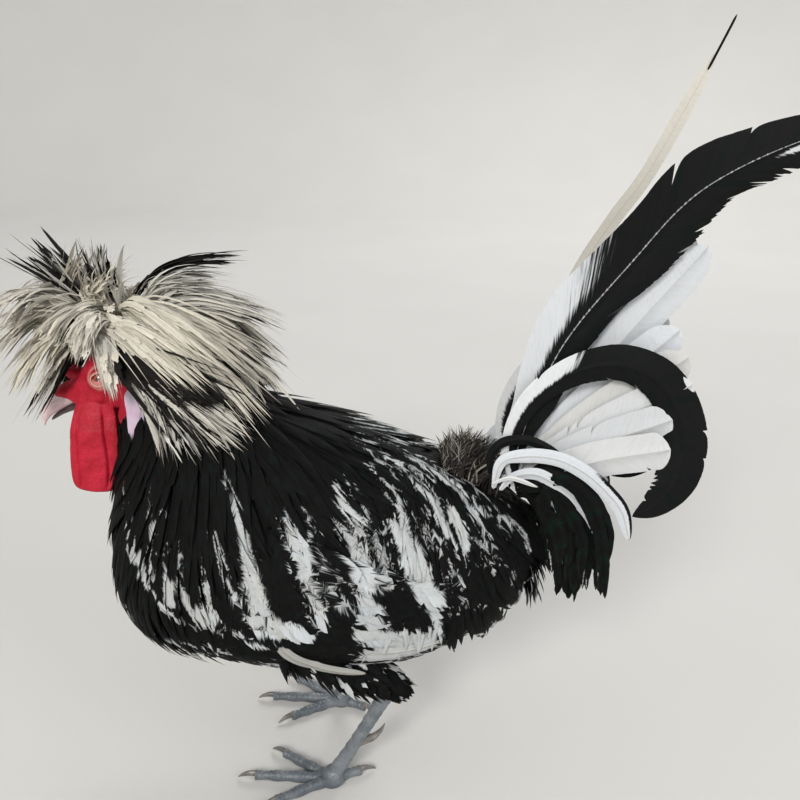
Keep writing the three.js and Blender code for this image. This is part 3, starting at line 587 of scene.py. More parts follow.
def finish_piece(piece, material, nodes=()):
    piece.data.materials.clear()
    piece.data.materials.append(material)
    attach(piece, "root")
    if nodes:
        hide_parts(*nodes)
    return piece


def laid_path(rib, turn, side, length, angle, stations, low, high, droop, base=None):
    """Paths over the body. Each starts at a rib and turn and goes length millimetres at an angle from the
    rib direction towards the belly, which grows by droop. Its height goes from low to high."""
    ribs, turns = [rib], [turn]
    pace = length / (stations - 1)
    for i in range(stations - 1):
        heading = angle + droop * i / (stations - 1)
        along, around = speeds(ribs[-1], turns[-1], side)
        ribs.append(np.minimum(ribs[-1] + pace * cosd(heading) / along, 11.4))
        turns.append(turns[-1] + pace * sind(heading) / around)
    rib, turn = np.stack(ribs, 1), np.stack(turns, 1)
    t = np.linspace(0, 1, stations)[None, :]
    height = mix(np.reshape(low, (-1, 1)), np.reshape(high, (-1, 1)), t**0.5)
    if base is not None:
        height = height + base(rib, turn)
    side = np.broadcast_to(np.reshape(side, (-1, 1)), rib.shape)
    return over_body(rib, turn, side, height), shell_normal(rib, turn, side), (rib, turn, side)


def tract(first, last, top, bottom, along, across, rng):
    """Roots in staggered rows over both sides of the body: rib, turn and side of each."""
    ribs, turns, sides = [], [], []
    rib, row = first, 0
    while rib < last:
        belly_x, belly_z, back_x, back_z, half = catmull(RIBS, np.array(rib))
        tall = np.hypot(back_x - belly_x, back_z - belly_z) / 2
        girth = np.pi * (half + tall) / 2 * (bottom - top) / 180
        count = max(3, int(round(girth / across)))
        for _, side in SIDES:
            turn = top + (bottom - top) * (np.arange(count) + 0.25 + 0.5 * (row % 2)) / count
            ribs.append(rib + rng.uniform(-0.3, 0.3, count) * along / 40)
            turns.append(turn + rng.uniform(-0.3, 0.3, count) * (bottom - top) / count)
            sides.append(np.full(count, float(side)))
        rib += along / (0.5 * (speeds(np.array(rib), 40.0, 1.0)[0] + speeds(np.array(rib), 150.0, 1.0)[0]))
        row += 1
    return np.concatenate(ribs), np.clip(np.concatenate(turns), 1, 180), np.concatenate(sides)


def pick(share, light, dark, rng):
    """A marking for each feather: with a chance of share one of the light kinds, else a dark one."""
    lit = rng.random(len(share)) < share
    return np.where(lit, rng.choice(light, len(share)), rng.choice(dark, len(share)))


# Materials

def nodes_of(name):
    material = bpy.data.materials.new(name)
    material.use_nodes = True
    tree = material.node_tree
    return material, tree, tree.nodes["Principled BSDF"]


def is_output(value):
    return isinstance(value, bpy.types.NodeSocket)


def set_inputs(tree, node, inputs):
    """Gives a node its inputs, which are values or other nodes' outputs."""
    for key, value in inputs.items():
        if is_output(value):
            tree.links.new(value, node.inputs[key])
        else:
            node.inputs[key].default_value = value


def add(tree, kind, inputs=None, **settings):
    node = tree.nodes.new(kind)
    for key, value in settings.items():
        setattr(node, key, value)
    set_inputs(tree, node, inputs or {})
    return node


def blend(tree, factor, a, b):
    a, b = (value if is_output(value) else (*value, 1) for value in (a, b))
    node = add(tree, "ShaderNodeMix", data_type="RGBA")
    set_inputs(tree, node, {0: factor, 6: a, 7: b})
    return node.outputs[2]


def remap(tree, value, low, high, out_low=0.0, out_high=1.0):
    inputs = {"Value": value, "From Min": low, "From Max": high, "To Min": out_low, "To Max": out_high}
    return add(tree, "ShaderNodeMapRange", inputs, interpolation_type="SMOOTHSTEP").outputs["Result"]


def maths(tree, operation, a, b=0.0, c=0.0):
    return add(tree, "ShaderNodeMath", {0: a, 1: b, 2: c}, operation=operation).outputs[0]


def grain(tree, vector, scale, detail=2.0):
    inputs = {"Vector": vector, "Scale": scale, "Detail": detail}
    return add(tree, "ShaderNodeTexNoise", inputs).outputs["Fac"]


def cells(tree, vector, scale):
    return add(tree, "ShaderNodeTexVoronoi", {"Vector": vector, "Scale": scale}).outputs["Distance"]


def bump(tree, height, strength, distance=0.0006):
    inputs = {"Height": height, "Strength": strength, "Distance": distance}
    return add(tree, "ShaderNodeBump", inputs).outputs["Normal"]


def parts(tree, vector):
    return add(tree, "ShaderNodeSeparateXYZ", {"Vector": vector}).outputs


def stored(tree, name):
    """The three parts of what each point holds under a name."""
    return parts(tree, add(tree, "ShaderNodeAttribute", attribute_name=name).outputs["Vector"])


def place_of(tree):
    return add(tree, "ShaderNodeNewGeometry").outputs["Position"]


def plumage(name, dark, painted_sheen, light, roughness, clump_shadow=0.26):
    """Feathers whose black and white meet along their barbs. Their look comes from what each point holds:
    whiteness, a number of its own and warmth, its place across and along the vane, and greyness. The black
    carries patches of painted sheen, and painted shadow darkens the white between strands and clumps of
    barbs."""
    material, tree, shader = nodes_of(name)
    look, place = stored(tree, "look"), stored(tree, "vane")
    out = maths(tree, "ABSOLUTE", place["X"])
    across = maths(tree, "MULTIPLY", place["X"], 0.12)
    spot = add(tree, "ShaderNodeCombineXYZ", {"X": across, "Y": place["Y"]}).outputs[0]
    clumps = grain(tree, spot, 0.55, 2.0)
    strands = grain(tree, spot, 2.4, 2.0)
    ragged = maths(tree, "MULTIPLY_ADD", clumps, 0.9, look["X"])
    ragged = maths(tree, "MULTIPLY_ADD", strands, 0.35, ragged)
    white = remap(tree, ragged, 0.98, 1.34)
    # Patches of painted sheen: a green or lighter colour painted into the black's base colour.
    sheen_patch = remap(tree, grain(tree, spot, 0.12, 1.0), 0.45, 0.66)
    black = blend(tree, sheen_patch, dark, painted_sheen)
    black = blend(tree, maths(tree, "MULTIPLY", strands, 0.4), black, tuple(2.2 * c + 0.002 for c in dark))
    # A darker cream for painted shadow between strands and clumps of barbs, and for each feather's own darker
    # tone.
    shadow = tuple(0.5 * c for c in CREAM_WHITE)
    pale = blend(tree, look["Z"], light, CREAM_WHITE)
    pale = blend(tree, remap(tree, strands, 0.5, 0.85, 0.0, 0.4), pale, shadow)
    pale = blend(tree, remap(tree, clumps, 0.42, 0.68, 0.0, clump_shadow), pale, shadow)
    pale = blend(tree, remap(tree, look["Y"], 0.0, 1.0, 0.0, 0.16), pale, shadow)
    pale = blend(tree, place["Z"], pale, DARK_GREY)
    colour = blend(tree, white, black, pale)
    shaft = maths(tree, "MULTIPLY", remap(tree, out, 0.15, 0.4, 0.5, 0.0), white)
    colour = blend(tree, shaft, colour, tuple(0.55 * c for c in CREAM_WHITE))
    fine = maths(tree, "SINE", maths(tree, "MULTIPLY", place["Y"], 7.0))
    height = maths(tree, "MULTIPLY_ADD", fine, 0.25, strands)
    set_inputs(tree, shader, {
        "Base Color": colour, "Roughness": remap(tree, white, 0, 1, roughness, roughness + 0.2),
        "Specular IOR Level": 0.03, "Normal": bump(tree, height, 0.4)})
    return material


BLACK_COLOUR = (0.0042, 0.0040, 0.0040)
# The green colours and the crest's lighter grey below are painted sheen, laid in patches over the black.
GREEN_SHEEN = (0.0040, 0.0068, 0.0058)
DEEP_GREEN_SHEEN = (0.003, 0.0095, 0.0065)
CREST_BLACK = (0.0085, 0.0080, 0.0075)
CREST_SHEEN = (0.014, 0.013, 0.012)
DARK_GREY = (0.11, 0.115, 0.12)
COOL_WHITE = (0.62, 0.66, 0.69)
CREAM_WHITE = (0.70, 0.65, 0.54)
body_plumage = plumage("body_plumage", BLACK_COLOUR, GREEN_SHEEN, COOL_WHITE, 0.48)
crest_plumage = plumage("crest_plumage", CREST_BLACK, CREST_SHEEN, (0.66, 0.66, 0.63), 0.5)
tail_plumage = plumage("tail_plumage", (0.0065, 0.0068, 0.0068), GREEN_SHEEN, (0.62, 0.65, 0.69), 0.38, 0.10)
covert_plumage = plumage("covert_plumage", BLACK_COLOUR, DEEP_GREEN_SHEEN, COOL_WHITE, 0.30)
down_plumage = plumage("down_plumage", (0.028, 0.025, 0.024), (0.04, 0.036, 0.034), (0.13, 0.122, 0.118), 0.7)


# Where the red is painted darker towards the cheek, as painted shade on the rear of the face, along X in
# metres.
CHEEK_SHADE = (-0.209, -0.194)


def hide():
    """Bare skin: red, with pale lids, lilac white lobes and, under the coat, the coat's own colours."""
    material, tree, shader = nodes_of("bare_skin")
    zone, coat, place = stored(tree, "zone"), stored(tree, "coat")["X"], place_of(tree)
    rearward = parts(tree, place)["X"]
    cloud = grain(tree, place, 90.0, 3.0)
    pimple = cells(tree, place, 620.0)
    red = blend(tree, remap(tree, cloud, 0.35, 0.68), (0.38, 0.004, 0.017), (0.52, 0.013, 0.040))
    red = blend(tree, remap(tree, pimple, 0.1, 0.6, 0.0, 0.35), red, (0.25, 0.004, 0.014))
    # Painted shade: darker red towards the rear of the face.
    red = blend(tree, remap(tree, rearward, *CHEEK_SHADE, 0.0, 0.6), red, (0.27, 0.005, 0.016))
    lobe = blend(tree, remap(tree, cloud, 0.3, 0.7), (0.52, 0.36, 0.48), (0.56, 0.48, 0.58))
    skin = blend(tree, zone["X"], red, lobe)
    skin = blend(tree, zone["Y"], skin, (0.60, 0.36, 0.30))
    under = blend(tree, coat, BLACK_COLOUR, COOL_WHITE)
    skin = blend(tree, zone["Z"], skin, under)
    height = maths(tree, "MULTIPLY_ADD", cloud, 1.5, pimple)
    set_inputs(tree, shader, {
        "Base Color": skin, "Roughness": 0.54, "Specular IOR Level": 0.26, "Subsurface Weight": 0.12,
        "Subsurface Radius": (1.0, 0.25, 0.15), "Subsurface Scale": 0.002, "Normal": bump(tree, height, 0.3)})
    return material


bare_skin = hide()


def horn(name, pale, deep, scale, roughness):
    """Beak, claws and spurs: fine streaks along the growth."""
    material, tree, shader = nodes_of(name)
    place = place_of(tree)
    colour = blend(tree, remap(tree, grain(tree, place, scale, 3.0), 0.35, 0.7), pale, deep)
    streaks = bump(tree, grain(tree, place, 5 * scale), 0.25, 0.0004)
    set_inputs(tree, shader, {"Base Color": colour, "Roughness": roughness, "Normal": streaks})
    return material


beak_horn = horn("beak_horn", (0.66, 0.50, 0.51), (0.52, 0.36, 0.37), 120.0, 0.36)
# The lower beak is painted dark brown, as painted shade: it lies in the shadow under the upper beak.
shaded_lower_horn = horn("shaded_lower_horn", (0.075, 0.045, 0.042), (0.035, 0.021, 0.02), 120.0, 0.4)
# Near black for the mouth between the mandibles: painted shadow in the gape.
gape_shadow = horn("gape_shadow", (0.05, 0.02, 0.02), (0.02, 0.01, 0.01), 100.0, 0.5)
claw_horn = horn("claw_horn", (0.10, 0.095, 0.09), (0.20, 0.18, 0.16), 150.0, 0.35)


def leg_hide():
    material, tree, shader = nodes_of("leg_scale")
    place = place_of(tree)
    cell = cells(tree, place, 420.0)
    cloud = grain(tree, place, 70.0, 3.0)
    colour = blend(tree, remap(tree, cloud, 0.3, 0.7), (0.075, 0.090, 0.105), (0.16, 0.175, 0.19))
    colour = blend(tree, remap(tree, cell, 0.0, 0.5, 0.35, 0.0), colour, (0.03, 0.035, 0.04))
    set_inputs(tree, shader, {"Base Color": colour, "Roughness": 0.45, "Normal": bump(tree, cell, 0.5)})
    return material


leg_scale = leg_hide()


def eye_glass():
    """The eye: a dark pupil, an amber brown iris and a wet clear coat."""
    material, tree, shader = nodes_of("eye")
    ring = stored(tree, "ring")["X"]
    fibres = grain(tree, place_of(tree), 900.0)
    iris = blend(tree, fibres, (0.24, 0.035, 0.018), (0.36, 0.08, 0.035))
    iris = blend(tree, remap(tree, ring, 3.4, 4.6), iris, (0.10, 0.02, 0.01))
    colour = blend(tree, remap(tree, ring, 1.8, 2.1), (0.004, 0.003, 0.003), iris)
    set_inputs(tree, shader, {
        "Base Color": colour, "Roughness": 0.12, "Coat Weight": 1.0, "Coat Roughness": 0.02})
    return material


eye_material = eye_glass()


# The skin: body, thighs, head, wattles, lobes and comb as one surface

def oval_rings(ribs, steps, sides):
    return on_rib([column[:, None] for column in columns(ribs, steps)], circle(sides)[None])


def inset_ribs(ribs, depth):
    """Ribs drawn in by the depth of the coat."""
    ribs = ribs.copy()
    lift = ribs[:, 2:4] - ribs[:, 0:2]
    lift = lift / np.linalg.norm(lift, axis=1, keepdims=True) * np.reshape(depth, (-1, 1))
    ribs[:, 0:2] += lift
    ribs[:, 2:4] -= lift
    ribs[:, 4] -= depth
    return ribs


# Head sections: forward, lowest, highest and half width, in the head's own frame.
HEAD_SECTIONS = [
    (-20, -9, 16, 12), (-14, -21, 20, 15.5), (-5, -26, 21.5, 17.2), (3, -25, 21, 17.2), (10, -20.5, 18, 15.4),
    (17, -18, 14.5, 13.2), (24, -16, 12, 11.4), (30, -12.5, 11.4, 10.0), (34.5, -2.5, 11.5, 9.2),
    (38.5, 2.5, 11.2, 8.5), (41.5, 4.6, 10.2, 7.0), (43, 5.6, 8.6, 4.5),
]
# Swellings and hollows of the face: forward, out, up, radius and height.
FACE_FORMS = [
    (5, 15.5, 12.5, 5.5, 1.8), (12, 13, 6, 5, -1.2), (4, 15.5, 3, 6.5, -2.6), (-1, 17, -10, 7, 2.2),
    (8, 15, -11, 4.5, 1.8), (15, 13, -8, 4, -1.4), (19, 12.5, -12, 4.5, 1.8), (24, 11, -4, 3.4, -1.2),
    (-12, 14, 0, 6, 1.0), (13, 13.5, -2.5, 4, 1.2), (4, 16.5, -20, 6, 2.6), (-6, 16, 2, 4, -0.8),
]


def make_face():
    sections = np.array(HEAD_SECTIONS, float)
    low = head_point(sections[:, 0], 0, sections[:, 1])
    high = head_point(sections[:, 0], 0, sections[:, 2])
    ribs = np.column_stack([low[:, 0], low[:, 2], high[:, 0], high[:, 2], sections[:, 3]])
    points, faces = loft(oval_rings(ribs, 90, 96))
    piece = mesh_object("face", points, faces)
    outward = normals(piece)
    offsets = np.zeros_like(points)
    for forward, out, up, radius, height in FACE_FORMS:
        for _, side in SIDES:
            distance = np.linalg.norm(points - head_point(forward, side * out, up), axis=1)
            offsets += outward * (height * np.exp(-((distance / radius) ** 2)))[:, None]
    move(piece, offsets)
    return piece


WATTLE_TOP, EARLOBE_TOP, EARLOBE_END = 278.0, 288.0, 246.0
# Rows of each lobe from its top down: how far down its length, half depth and half thickness.
WATTLE_ROWS = [(-0.06, 7, 3), (0, 10, 3.4), (0.1, 13, 3.8), (0.3, 15.6, 3.9), (0.55, 16.8, 4.1),
               (0.78, 16.8, 4.3), (0.9, 15.8, 4.0), (0.97, 13.0, 3.2), (1.0, 7, 1.8)]
EARLOBE_ROWS = [(-0.08, 5, 2), (0.06, 9, 3.0), (0.18, 9.2, 3.6), (0.42, 7.0, 3.6), (0.7, 4.2, 3.0),
                (0.9, 2.2, 2), (1.02, 0.8, 0.7)]


def lobe_middle(drop):
    return -169.3 - 8.7 * np.maximum(drop, 0) ** 2.2


def skin_lobe(name, rows, place, panels, side):
    """A hanging lobe of skin. panels are (place across, thickness) of its outer face from front to rear, with
    a crease between each two."""
    drop, deep, wide = columns(rows, 90)
    turn = circle(180)
    across, out = cosd(turn)[None], side * sind(turn)[None]
    wander = across + 0.06 * np.sin(5 * drop[:, None] + 1)
    fade = step(drop[:, None], 0.02, 0.2) * (1 - step(drop[:, None], 0.86, 1.0))
    pressed = np.full_like(wander, panels[0][1])
    for (edge, thick), (_, before) in zip(panels[1:], panels[:-1]):
        pressed += (thick - before) * step(wander, edge - 0.05, edge + 0.05)
        pressed -= 0.45 * np.exp(-(((wander - edge) / 0.045) ** 2))
    pressed = 1 + fade * (pressed - 1) * step(side * out, -0.1, 0.35)
    x, y, z = (v[:, None] for v in place(drop))
    points = np.stack(np.broadcast_arrays(
        x + deep[:, None] * across, y + wide[:, None] * out * pressed, z), -1)
    return mesh_object(name, *loft(points if side > 0 else points[:, ::-1]))


def make_wattle(side):
    def place(drop):
        out = side * mix(8, 14, np.clip(drop * 3, 0, 1))
        return -202.5 - 1.6 * drop, out, WATTLE_TOP - drop * WATTLE_LENGTH
    return skin_lobe("wattle", WATTLE_ROWS, place, [(-1, 1.15), (-0.62, 0.95), (0.5, 0.5)], side)


def make_earlobe(side):
    def place(drop):
        return lobe_middle(drop), side * mix(20, 25, drop), EARLOBE_TOP - drop * EARLOBE_LENGTH
    return skin_lobe("lobe", EARLOBE_ROWS, place, [(-1, 0.85), (-0.3, 1.05), (0.45, 0.85)], side)


def make_horn_of_comb(side):
    rows = [(16, 1, 6, 4.8), (20, 2, 10, 4.5), (23, 2.5, 12, 4.2), (25, 5, 16.5, 3), (24.5, 7.5, 21, 0.8)]
    forward, out, up, size = columns(rows, 24)
    middle = head_point(forward, side * out, up)
    return mesh_object("comb", *loft(tube_rings(middle, size, size, 24)))


def tube_rings(middle, deep, wide, sides):
    """Oval rings square to a path in an upright plane or near it."""
    along = unit(np.gradient(middle, axis=0))
    across = unit(np.cross([0.0, 1.0, 0.0], along))
    side = np.cross(along, across)
    turn = circle(sides)
    return (middle[:, None] + across[:, None] * (deep[:, None] * cosd(turn))[..., None]
            + side[:, None] * (wide[:, None] * sind(turn))[..., None])


# Each thigh's middle line down to the hock, x, y and z, and its radius.
THIGH_ROWS = [(-70, 36, 140, 22), (-62, 40, 130, 22), (-38, 43, 113, 19), (-14, 44, 99, 11), (2, 44, 90, 7)]


def make_thigh(side):
    x, y, z, size = columns(THIGH_ROWS, 24)
    return mesh_object("thigh", *loft(tube_rings(np.stack([x, side * y, z], 1), size, 0.85 * size, 32)))


def make_skin():
    depth = np.array([1, 2, 3, 5, 6, 6, 6, 6, 6, 6, 5, 4], float)
    trunk = inset_ribs(RIBS, depth)
    collar = np.array([[-184, 266, -186, 314, 15.0]])
    ribs = np.vstack([collar, trunk])
    body = mesh_object("skin", *loft(oval_rings(ribs, 120, 88)))
    pieces = [make_face()]
    for _, side in SIDES:
        pieces += [make_wattle(side), make_earlobe(side), make_horn_of_comb(side)]
    face = join(pieces)
    face.modifiers.new("one", "REMESH").mode = "VOXEL"
    face.modifiers["one"].voxel_size = 0.6 * MM
    face.modifiers.new("soft", "SMOOTH").iterations = 8
    face = evaluated(face)
    outward = normals(face)
    points = positions(face)
    pimples = 0.10 * bumps(points, 1.8, 3.0) + 0.3 * bumps(points, 6.0, 8.0)
    move(face, outward * pimples[:, None])
    for other in [*(make_thigh(side) for _, side in SIDES), face]:
        union = body.modifiers.new("one", "BOOLEAN")
        union.operation, union.solver, union.object = "UNION", "EXACT", other
        body = evaluated(body)
        bpy.data.objects.remove(other)
    body.data.polygons.foreach_set("use_smooth", np.ones(len(body.data.polygons), bool))
    points = positions(body)
    add_attribute(body.data, "zone", skin_zones(points))
    add_attribute(body.data, "coat", np.repeat(coat_marks(points)[:, None], 3, axis=1))
    add_uv(body.data, skin_unwrap(points))
    return finish_piece(body, bare_skin, [
        "torso", "neck", "head", "comb", "thigh_left", "thigh_right", "wattle_left", "wattle_right",
        "earlobe_left", "earlobe_right"])


def skin_zones(points):
    """How much each point is earlobe, eyelid and feathered skin."""
    lobe = np.zeros(len(points))
    lid = np.zeros(len(points))
    for _, side in SIDES:
        drop = np.clip((EARLOBE_TOP - points[:, 2]) / EARLOBE_LENGTH, 0, 1)
        half = np.interp(drop, [0, 0.18, 0.42, 0.7, 1], [9.5, 10.4, 8.2, 5.2, 2.2])
        apart = np.abs(points[:, 0] - lobe_middle(drop)) - half
        low = np.maximum(points[:, 2] - EARLOBE_TOP - 3, EARLOBE_END - points[:, 2])
        inside = np.maximum(np.maximum(apart, low), 17.5 - side * points[:, 1])
        lobe = np.maximum(lobe, 1 - step(inside, -0.6, 0.8))
        eye = head_point(EYE_FORWARD, side * EYE_OUT, EYE_UP)
        lid = np.maximum(lid, 1 - step(np.linalg.norm(points - eye, axis=1), 8.0, 9.6))
    nape = step(points[:, 0], -166, -158)
    throat = step(-points[:, 2], -262, -255) * step(points[:, 0], -192, -188)
    feathered = np.maximum(nape, throat)
    wattle = (points[:, 0] < -186) & (points[:, 2] < 280) & (np.abs(points[:, 1]) < 26)
    feathered = np.where(wattle, 0, feathered)
    return np.stack([lobe, 0.5 * lid, feathered], 1)


def coat_marks(points):
    """The coat's marks at points under it, from the nearest place of the body's surface."""
    rib, turn = np.meshgrid(np.arange(0, 11.01, 0.2), np.arange(0, 180.1, 4), indexing="ij")
    rib, turn = rib.ravel(), turn.ravel()
    places = [(r, a, side) for _, side in SIDES for r, a in zip(rib, turn)]
    surface = np.concatenate([shell(rib, turn, float(side)) for _, side in SIDES])
    tree = kdtree.KDTree(len(surface))
    for index, point in enumerate(surface):
        tree.insert(point, index)
    tree.balance()
    nearest = np.array([places[tree.find(point)[1]] for point in points])
    return marks_at(nearest[:, 0], nearest[:, 1], nearest[:, 2])


def skin_unwrap(points):
    """An unwrap round the bird's length, with the head spread wider than the body."""
    along = np.interp(points[:, 0], [-240, -160, 95], [0.02, 0.5, 0.98])
    middle = np.interp(points[:, 0], [-200, -150, 0, 90], [285, 200, 165, 185])
    around = 0.5 + 0.47 * np.arctan2(points[:, 1], points[:, 2] - middle) / np.pi
    return np.stack([along, around], 1)


# Eyes and lids

def eye_ring(side, polar, turn, radius):
    """Places about the eye's centre. polar is the angle from straight out and turn goes round that."""
    flat = np.cos(turn)[..., None] * AHEAD + np.sin(turn)[..., None] * UPWARD
    return (np.cos(polar) * radius)[..., None] * [0.0, side, 0.0] + (np.sin(polar) * radius)[..., None] * flat


def make_eye(label, side):
    centre = head_point(EYE_FORWARD, side * EYE_OUT, EYE_UP)
    polar = np.radians(np.linspace(2, 178, 60))
    turn = np.radians(360 * np.arange(64) / 64)
    radius = EYE_RADIUS - 0.45 + 0.45 * np.exp(-((polar / 0.42) ** 2))
    ring = eye_ring(side, polar[:, None], turn[None], radius[:, None])
    if side > 0:
        ring = ring[:, ::-1]
    points, faces = loft(centre + ring)
    apart = points - centre
    from_axis = np.hypot(apart @ AHEAD, apart @ UPWARD)
    from_axis = np.where(side * apart[:, 1] > 0, from_axis, 9)
    piece = mesh_object(f"eye_{label}_ball", points, faces, {"ring": np.stack([from_axis] * 3, 1)})
    return finish_piece(piece, eye_material, [f"eye_{label}"])


# How wide the lids open, as a share of the eye, and how much lower than wide.
LID_OPENING, LID_SQUINT = 4.9 / 6.9, 0.74
# Wrinkles of the lids from the rim outwards: share of the way and radius.
LID_ROWS = [(0.0, 6.7), (0.0, 7.45), (0.06, 7.85), (0.16, 7.75), (0.26, 7.95), (0.38, 7.7), (0.5, 7.85),
            (0.66, 7.6), (0.84, 7.3), (1.0, 6.4)]


def make_lids(label, side):
    """A rim of skin drawn over the eye, with an opening wider than high and wrinkles round it."""
    centre = head_point(EYE_FORWARD, side * EYE_OUT, EYE_UP)
    turn = np.radians(360 * np.arange(96) / 96)
    upper = np.clip(np.sin(turn), 0, 1)
    opening = np.sqrt(np.cos(turn) ** 2 + (LID_SQUINT * np.sin(turn)) ** 2)
    opening = np.arcsin(np.clip(LID_OPENING * opening, 0, 0.95))
    rings = []
    for share, radius in LID_ROWS:
        polar = mix(opening, np.radians(84), share)
        swell = radius + 0.35 * upper * np.exp(-((share - 0.1) / 0.2) ** 2)
        rings.append(centre + eye_ring(side, polar, turn, swell))
    points = np.array(rings)
    count, sides = points.shape[:2]
    k = np.arange(sides)
    after = (k + 1) % sides
    faces = []
    for i in range(count):
        a, b = i * sides, ((i + 1) % count) * sides
        quad = [a + k, b + k, b + after, a + after]
        faces.append(np.stack(quad if side < 0 else quad[::-1], 1))
    flat = points.reshape(-1, 3)
    rim = np.repeat(np.array([0.9, 0.9, 0.9, 0.45, 0.135] + [0.0] * (count - 5)), sides)
    zone = np.stack([0 * rim, rim, 0 * rim], 1)
    piece = mesh_object(f"lids_{label}", flat, np.vstack(faces), {"zone": zone, "coat": 0 * zone})
    piece.modifiers.new("fine", "SUBSURF").levels = 1
    piece = evaluated(piece)
    return finish_piece(piece, bare_skin)


# Beak

# Rows of the beak from its root, in the head's frame: forward, up, half height and half width.
UPPER_BEAK = [(26, 2, 8.6, 9.4), (32, 2.3, 8, 8.6), (38, 2.4, 7.4, 7.6), (47, 1.4, 6.2, 5.6),
              (55, -0.6, 4.4, 3.6), (61, -3.6, 3, 1.8), (64, -7.0, 1.5, 0.7)]
LOWER_BEAK = [(24, -7.4, 4, 8.4), (31, -6.3, 3.2, 7.6), (38, -5.5, 2.5, 6.2), (47, -5.2, 1.8, 4.0),
              (54, -5.9, 1.2, 2.0), (57, -6.6, 0.5, 0.7)]
MOUTH = [(24, -4.6, 2.2, 7.0), (38, -4.8, 2.0, 5.4), (48, -5.2, 1.6, 3.2), (54, -5.6, 1.0, 1.2)]
# The nostril's swelling and its slot: middle, half sizes and height, in the head's frame.
NOSTRIL = [((45, 5.8, 3.6), (6.5, 4.5, 3.6), 1.4), ((47, 6.6, 2.8), (2.8, 4, 1.1), -2.4)]


def beak_rings(sections, steps, sides, sharp_below):
    forward, up, tall, wide = (column[:, None] for column in columns(sections, steps))
    turn = circle(sides)
    out, rise = sind(turn)[None], cosd(turn)[None]
    edge = np.where(rise < 0, 1 - sharp_below * (1 - np.abs(out)), 1)
    ridge = 1 + 0.10 * np.exp(-((out / 0.25) ** 2)) * (rise > 0)
    return head_point(forward, wide * out, up + tall * rise * edge * ridge)


def make_beak():
    upper = mesh_object("beak_upper_horn", *loft(beak_rings(UPPER_BEAK, 60, 48, 0.25)))
    points = positions(upper)
    outward = normals(upper)
    offsets = np.zeros_like(points)
    for _, side in SIDES:
        for (forward, out, up), (long, deep, tall), height in NOSTRIL:
            axes = np.stack([AHEAD / long, np.array([0, 1, 0]) / deep, UPWARD / tall], 1)
            apart = (points - head_point(forward, side * out, up)) @ axes
            offsets += outward * (height * np.exp(-(apart**2).sum(1)))[:, None]
    move(upper, offsets)
    lower = mesh_object("beak_lower_horn", *loft(beak_rings(LOWER_BEAK, 40, 40, -0.1)))
    # The mouth: a near black piece between the mandibles, as painted shadow in the gape.
    inner = mesh_object("mouth", *loft(beak_rings(MOUTH, 20, 24, 0)))
    finish_piece(upper, beak_horn, ["beak_upper"])
    finish_piece(lower, shaded_lower_horn, ["beak_lower"])
    finish_piece(inner, gape_shadow)


# Legs and feet

# The shank from the hock down: x, z and radius. The spur: x, out, z and radius.
SHANK_LINE = [(-1, 97, 5.6), (1, 91, 6.6), (0, 82, 6.4), (-9, 62, 5.2), (-22, 36, 5), (-36, 9, 6.2)]
SPUR = [(-20, -2, 36, 4.2), (-14, -4.5, 36.3, 3.4), (-9, -6, 37, 2.6), (-4, -10, 39.5, 1.5),
        (-1, -13.5, 43, 0.3)]
SHANK_SCUTES = 17
# Each toe's heading, length and number of joints.
TOES = [(180, 56, 3), (148, 44, 2), (212, 44, 3), (-24, 22, 1)]
# The claws: how far beyond the toe, height and radius. The pad under the shank: x, z and radius.
CLAW = [(-3, 4.4, 2.6), (1, 5.1, 2.4), (5, 4.8, 2.0), (9.5, 3.2, 1.2), (12.3, 1.3, 0.35)]
PAD = [(-38, 0, 7.5), (-38, 2, 9), (-38, 4, 9.5), (-37.5, 9, 8), (-36.5, 13, 5.5)]
ANKLE = np.array([-38.0, 0.0, 0.0])
UP = np.array([0.0, 0.0, 1.0])


def scute_steps(t, scutes, height):
    """A row of plates that each rise to their lower edge and step down to the next."""
    phase = (t * scutes) % 1.0
    return height * phase**1.5 * (1 - step(phase, 0.86, 1.0))


def make_shank(label, side):
    t = np.linspace(0, 1, SHANK_SCUTES * 9)
    x, z, size = columns(SHANK_LINE, len(t))
    turn = circle(40)
    forward, out = cosd(turn)[None], sind(turn)[None]
    front = step(forward, 0.15, 0.4)
    back = step(-forward, 0.2, 0.45)
    plates = front * scute_steps(t, SHANK_SCUTES, 0.75)[:, None]
    plates = plates + back * scute_steps(t + 0.03, SHANK_SCUTES * 1.3, 0.45)[:, None]
    reach = size[:, None] + plates
    points = np.stack(np.broadcast_arrays(
        x[:, None] - reach * forward, side * (LEG_SPREAD + 0.8 * reach * out), z[:, None]), -1)
    shank = mesh_object(f"shank_{label}_scales", *loft(points if side > 0 else points[:, ::-1]))
    x, out, z, size = columns(SPUR, 24)
    middle = np.stack([x, side * (LEG_SPREAD + out), z], 1)
    spur = mesh_object(f"spur_{label}", *loft(tube_rings(middle, size, size, 20)))
    finish_piece(shank, leg_scale, [f"shank_{label}"])
    finish_piece(spur, claw_horn)


def toe_axes(heading, side):
    """Along a toe and across it."""
    direction = np.array([cosd(heading), side * sind(heading), 0.0])
    return direction, np.cross(direction, UP)


def make_toe(heading, length, joints, side):
    direction, across = toe_axes(heading, side)
    plates = int(length / 3.4)
    t = np.linspace(0, 1, plates * 8)
    hub = ANKLE + [0, side * LEG_SPREAD, TOE_THICKNESS - 0.9]
    knuckles = 0.35 * np.cos(2 * np.pi * (joints + 0.5) * t + np.pi)
    size = TOE_THICKNESS * mix(1, 0.72, t) + knuckles
    middle = hub + direction * (t * length)[:, None]
    turn = circle(28)
    top = step(cosd(turn)[None], 0.1, 0.5)
    reach = size[:, None] + top * scute_steps(t, plates, 0.5)[:, None]
    points = (middle[:, None] + UP * (reach * cosd(turn)[None])[..., None]
              + across * (0.95 * reach * sind(turn)[None])[..., None])
    points[..., 2] = np.maximum(points[..., 2], 0.0)
    return mesh_object("toe", *loft(points[:, ::-1]))


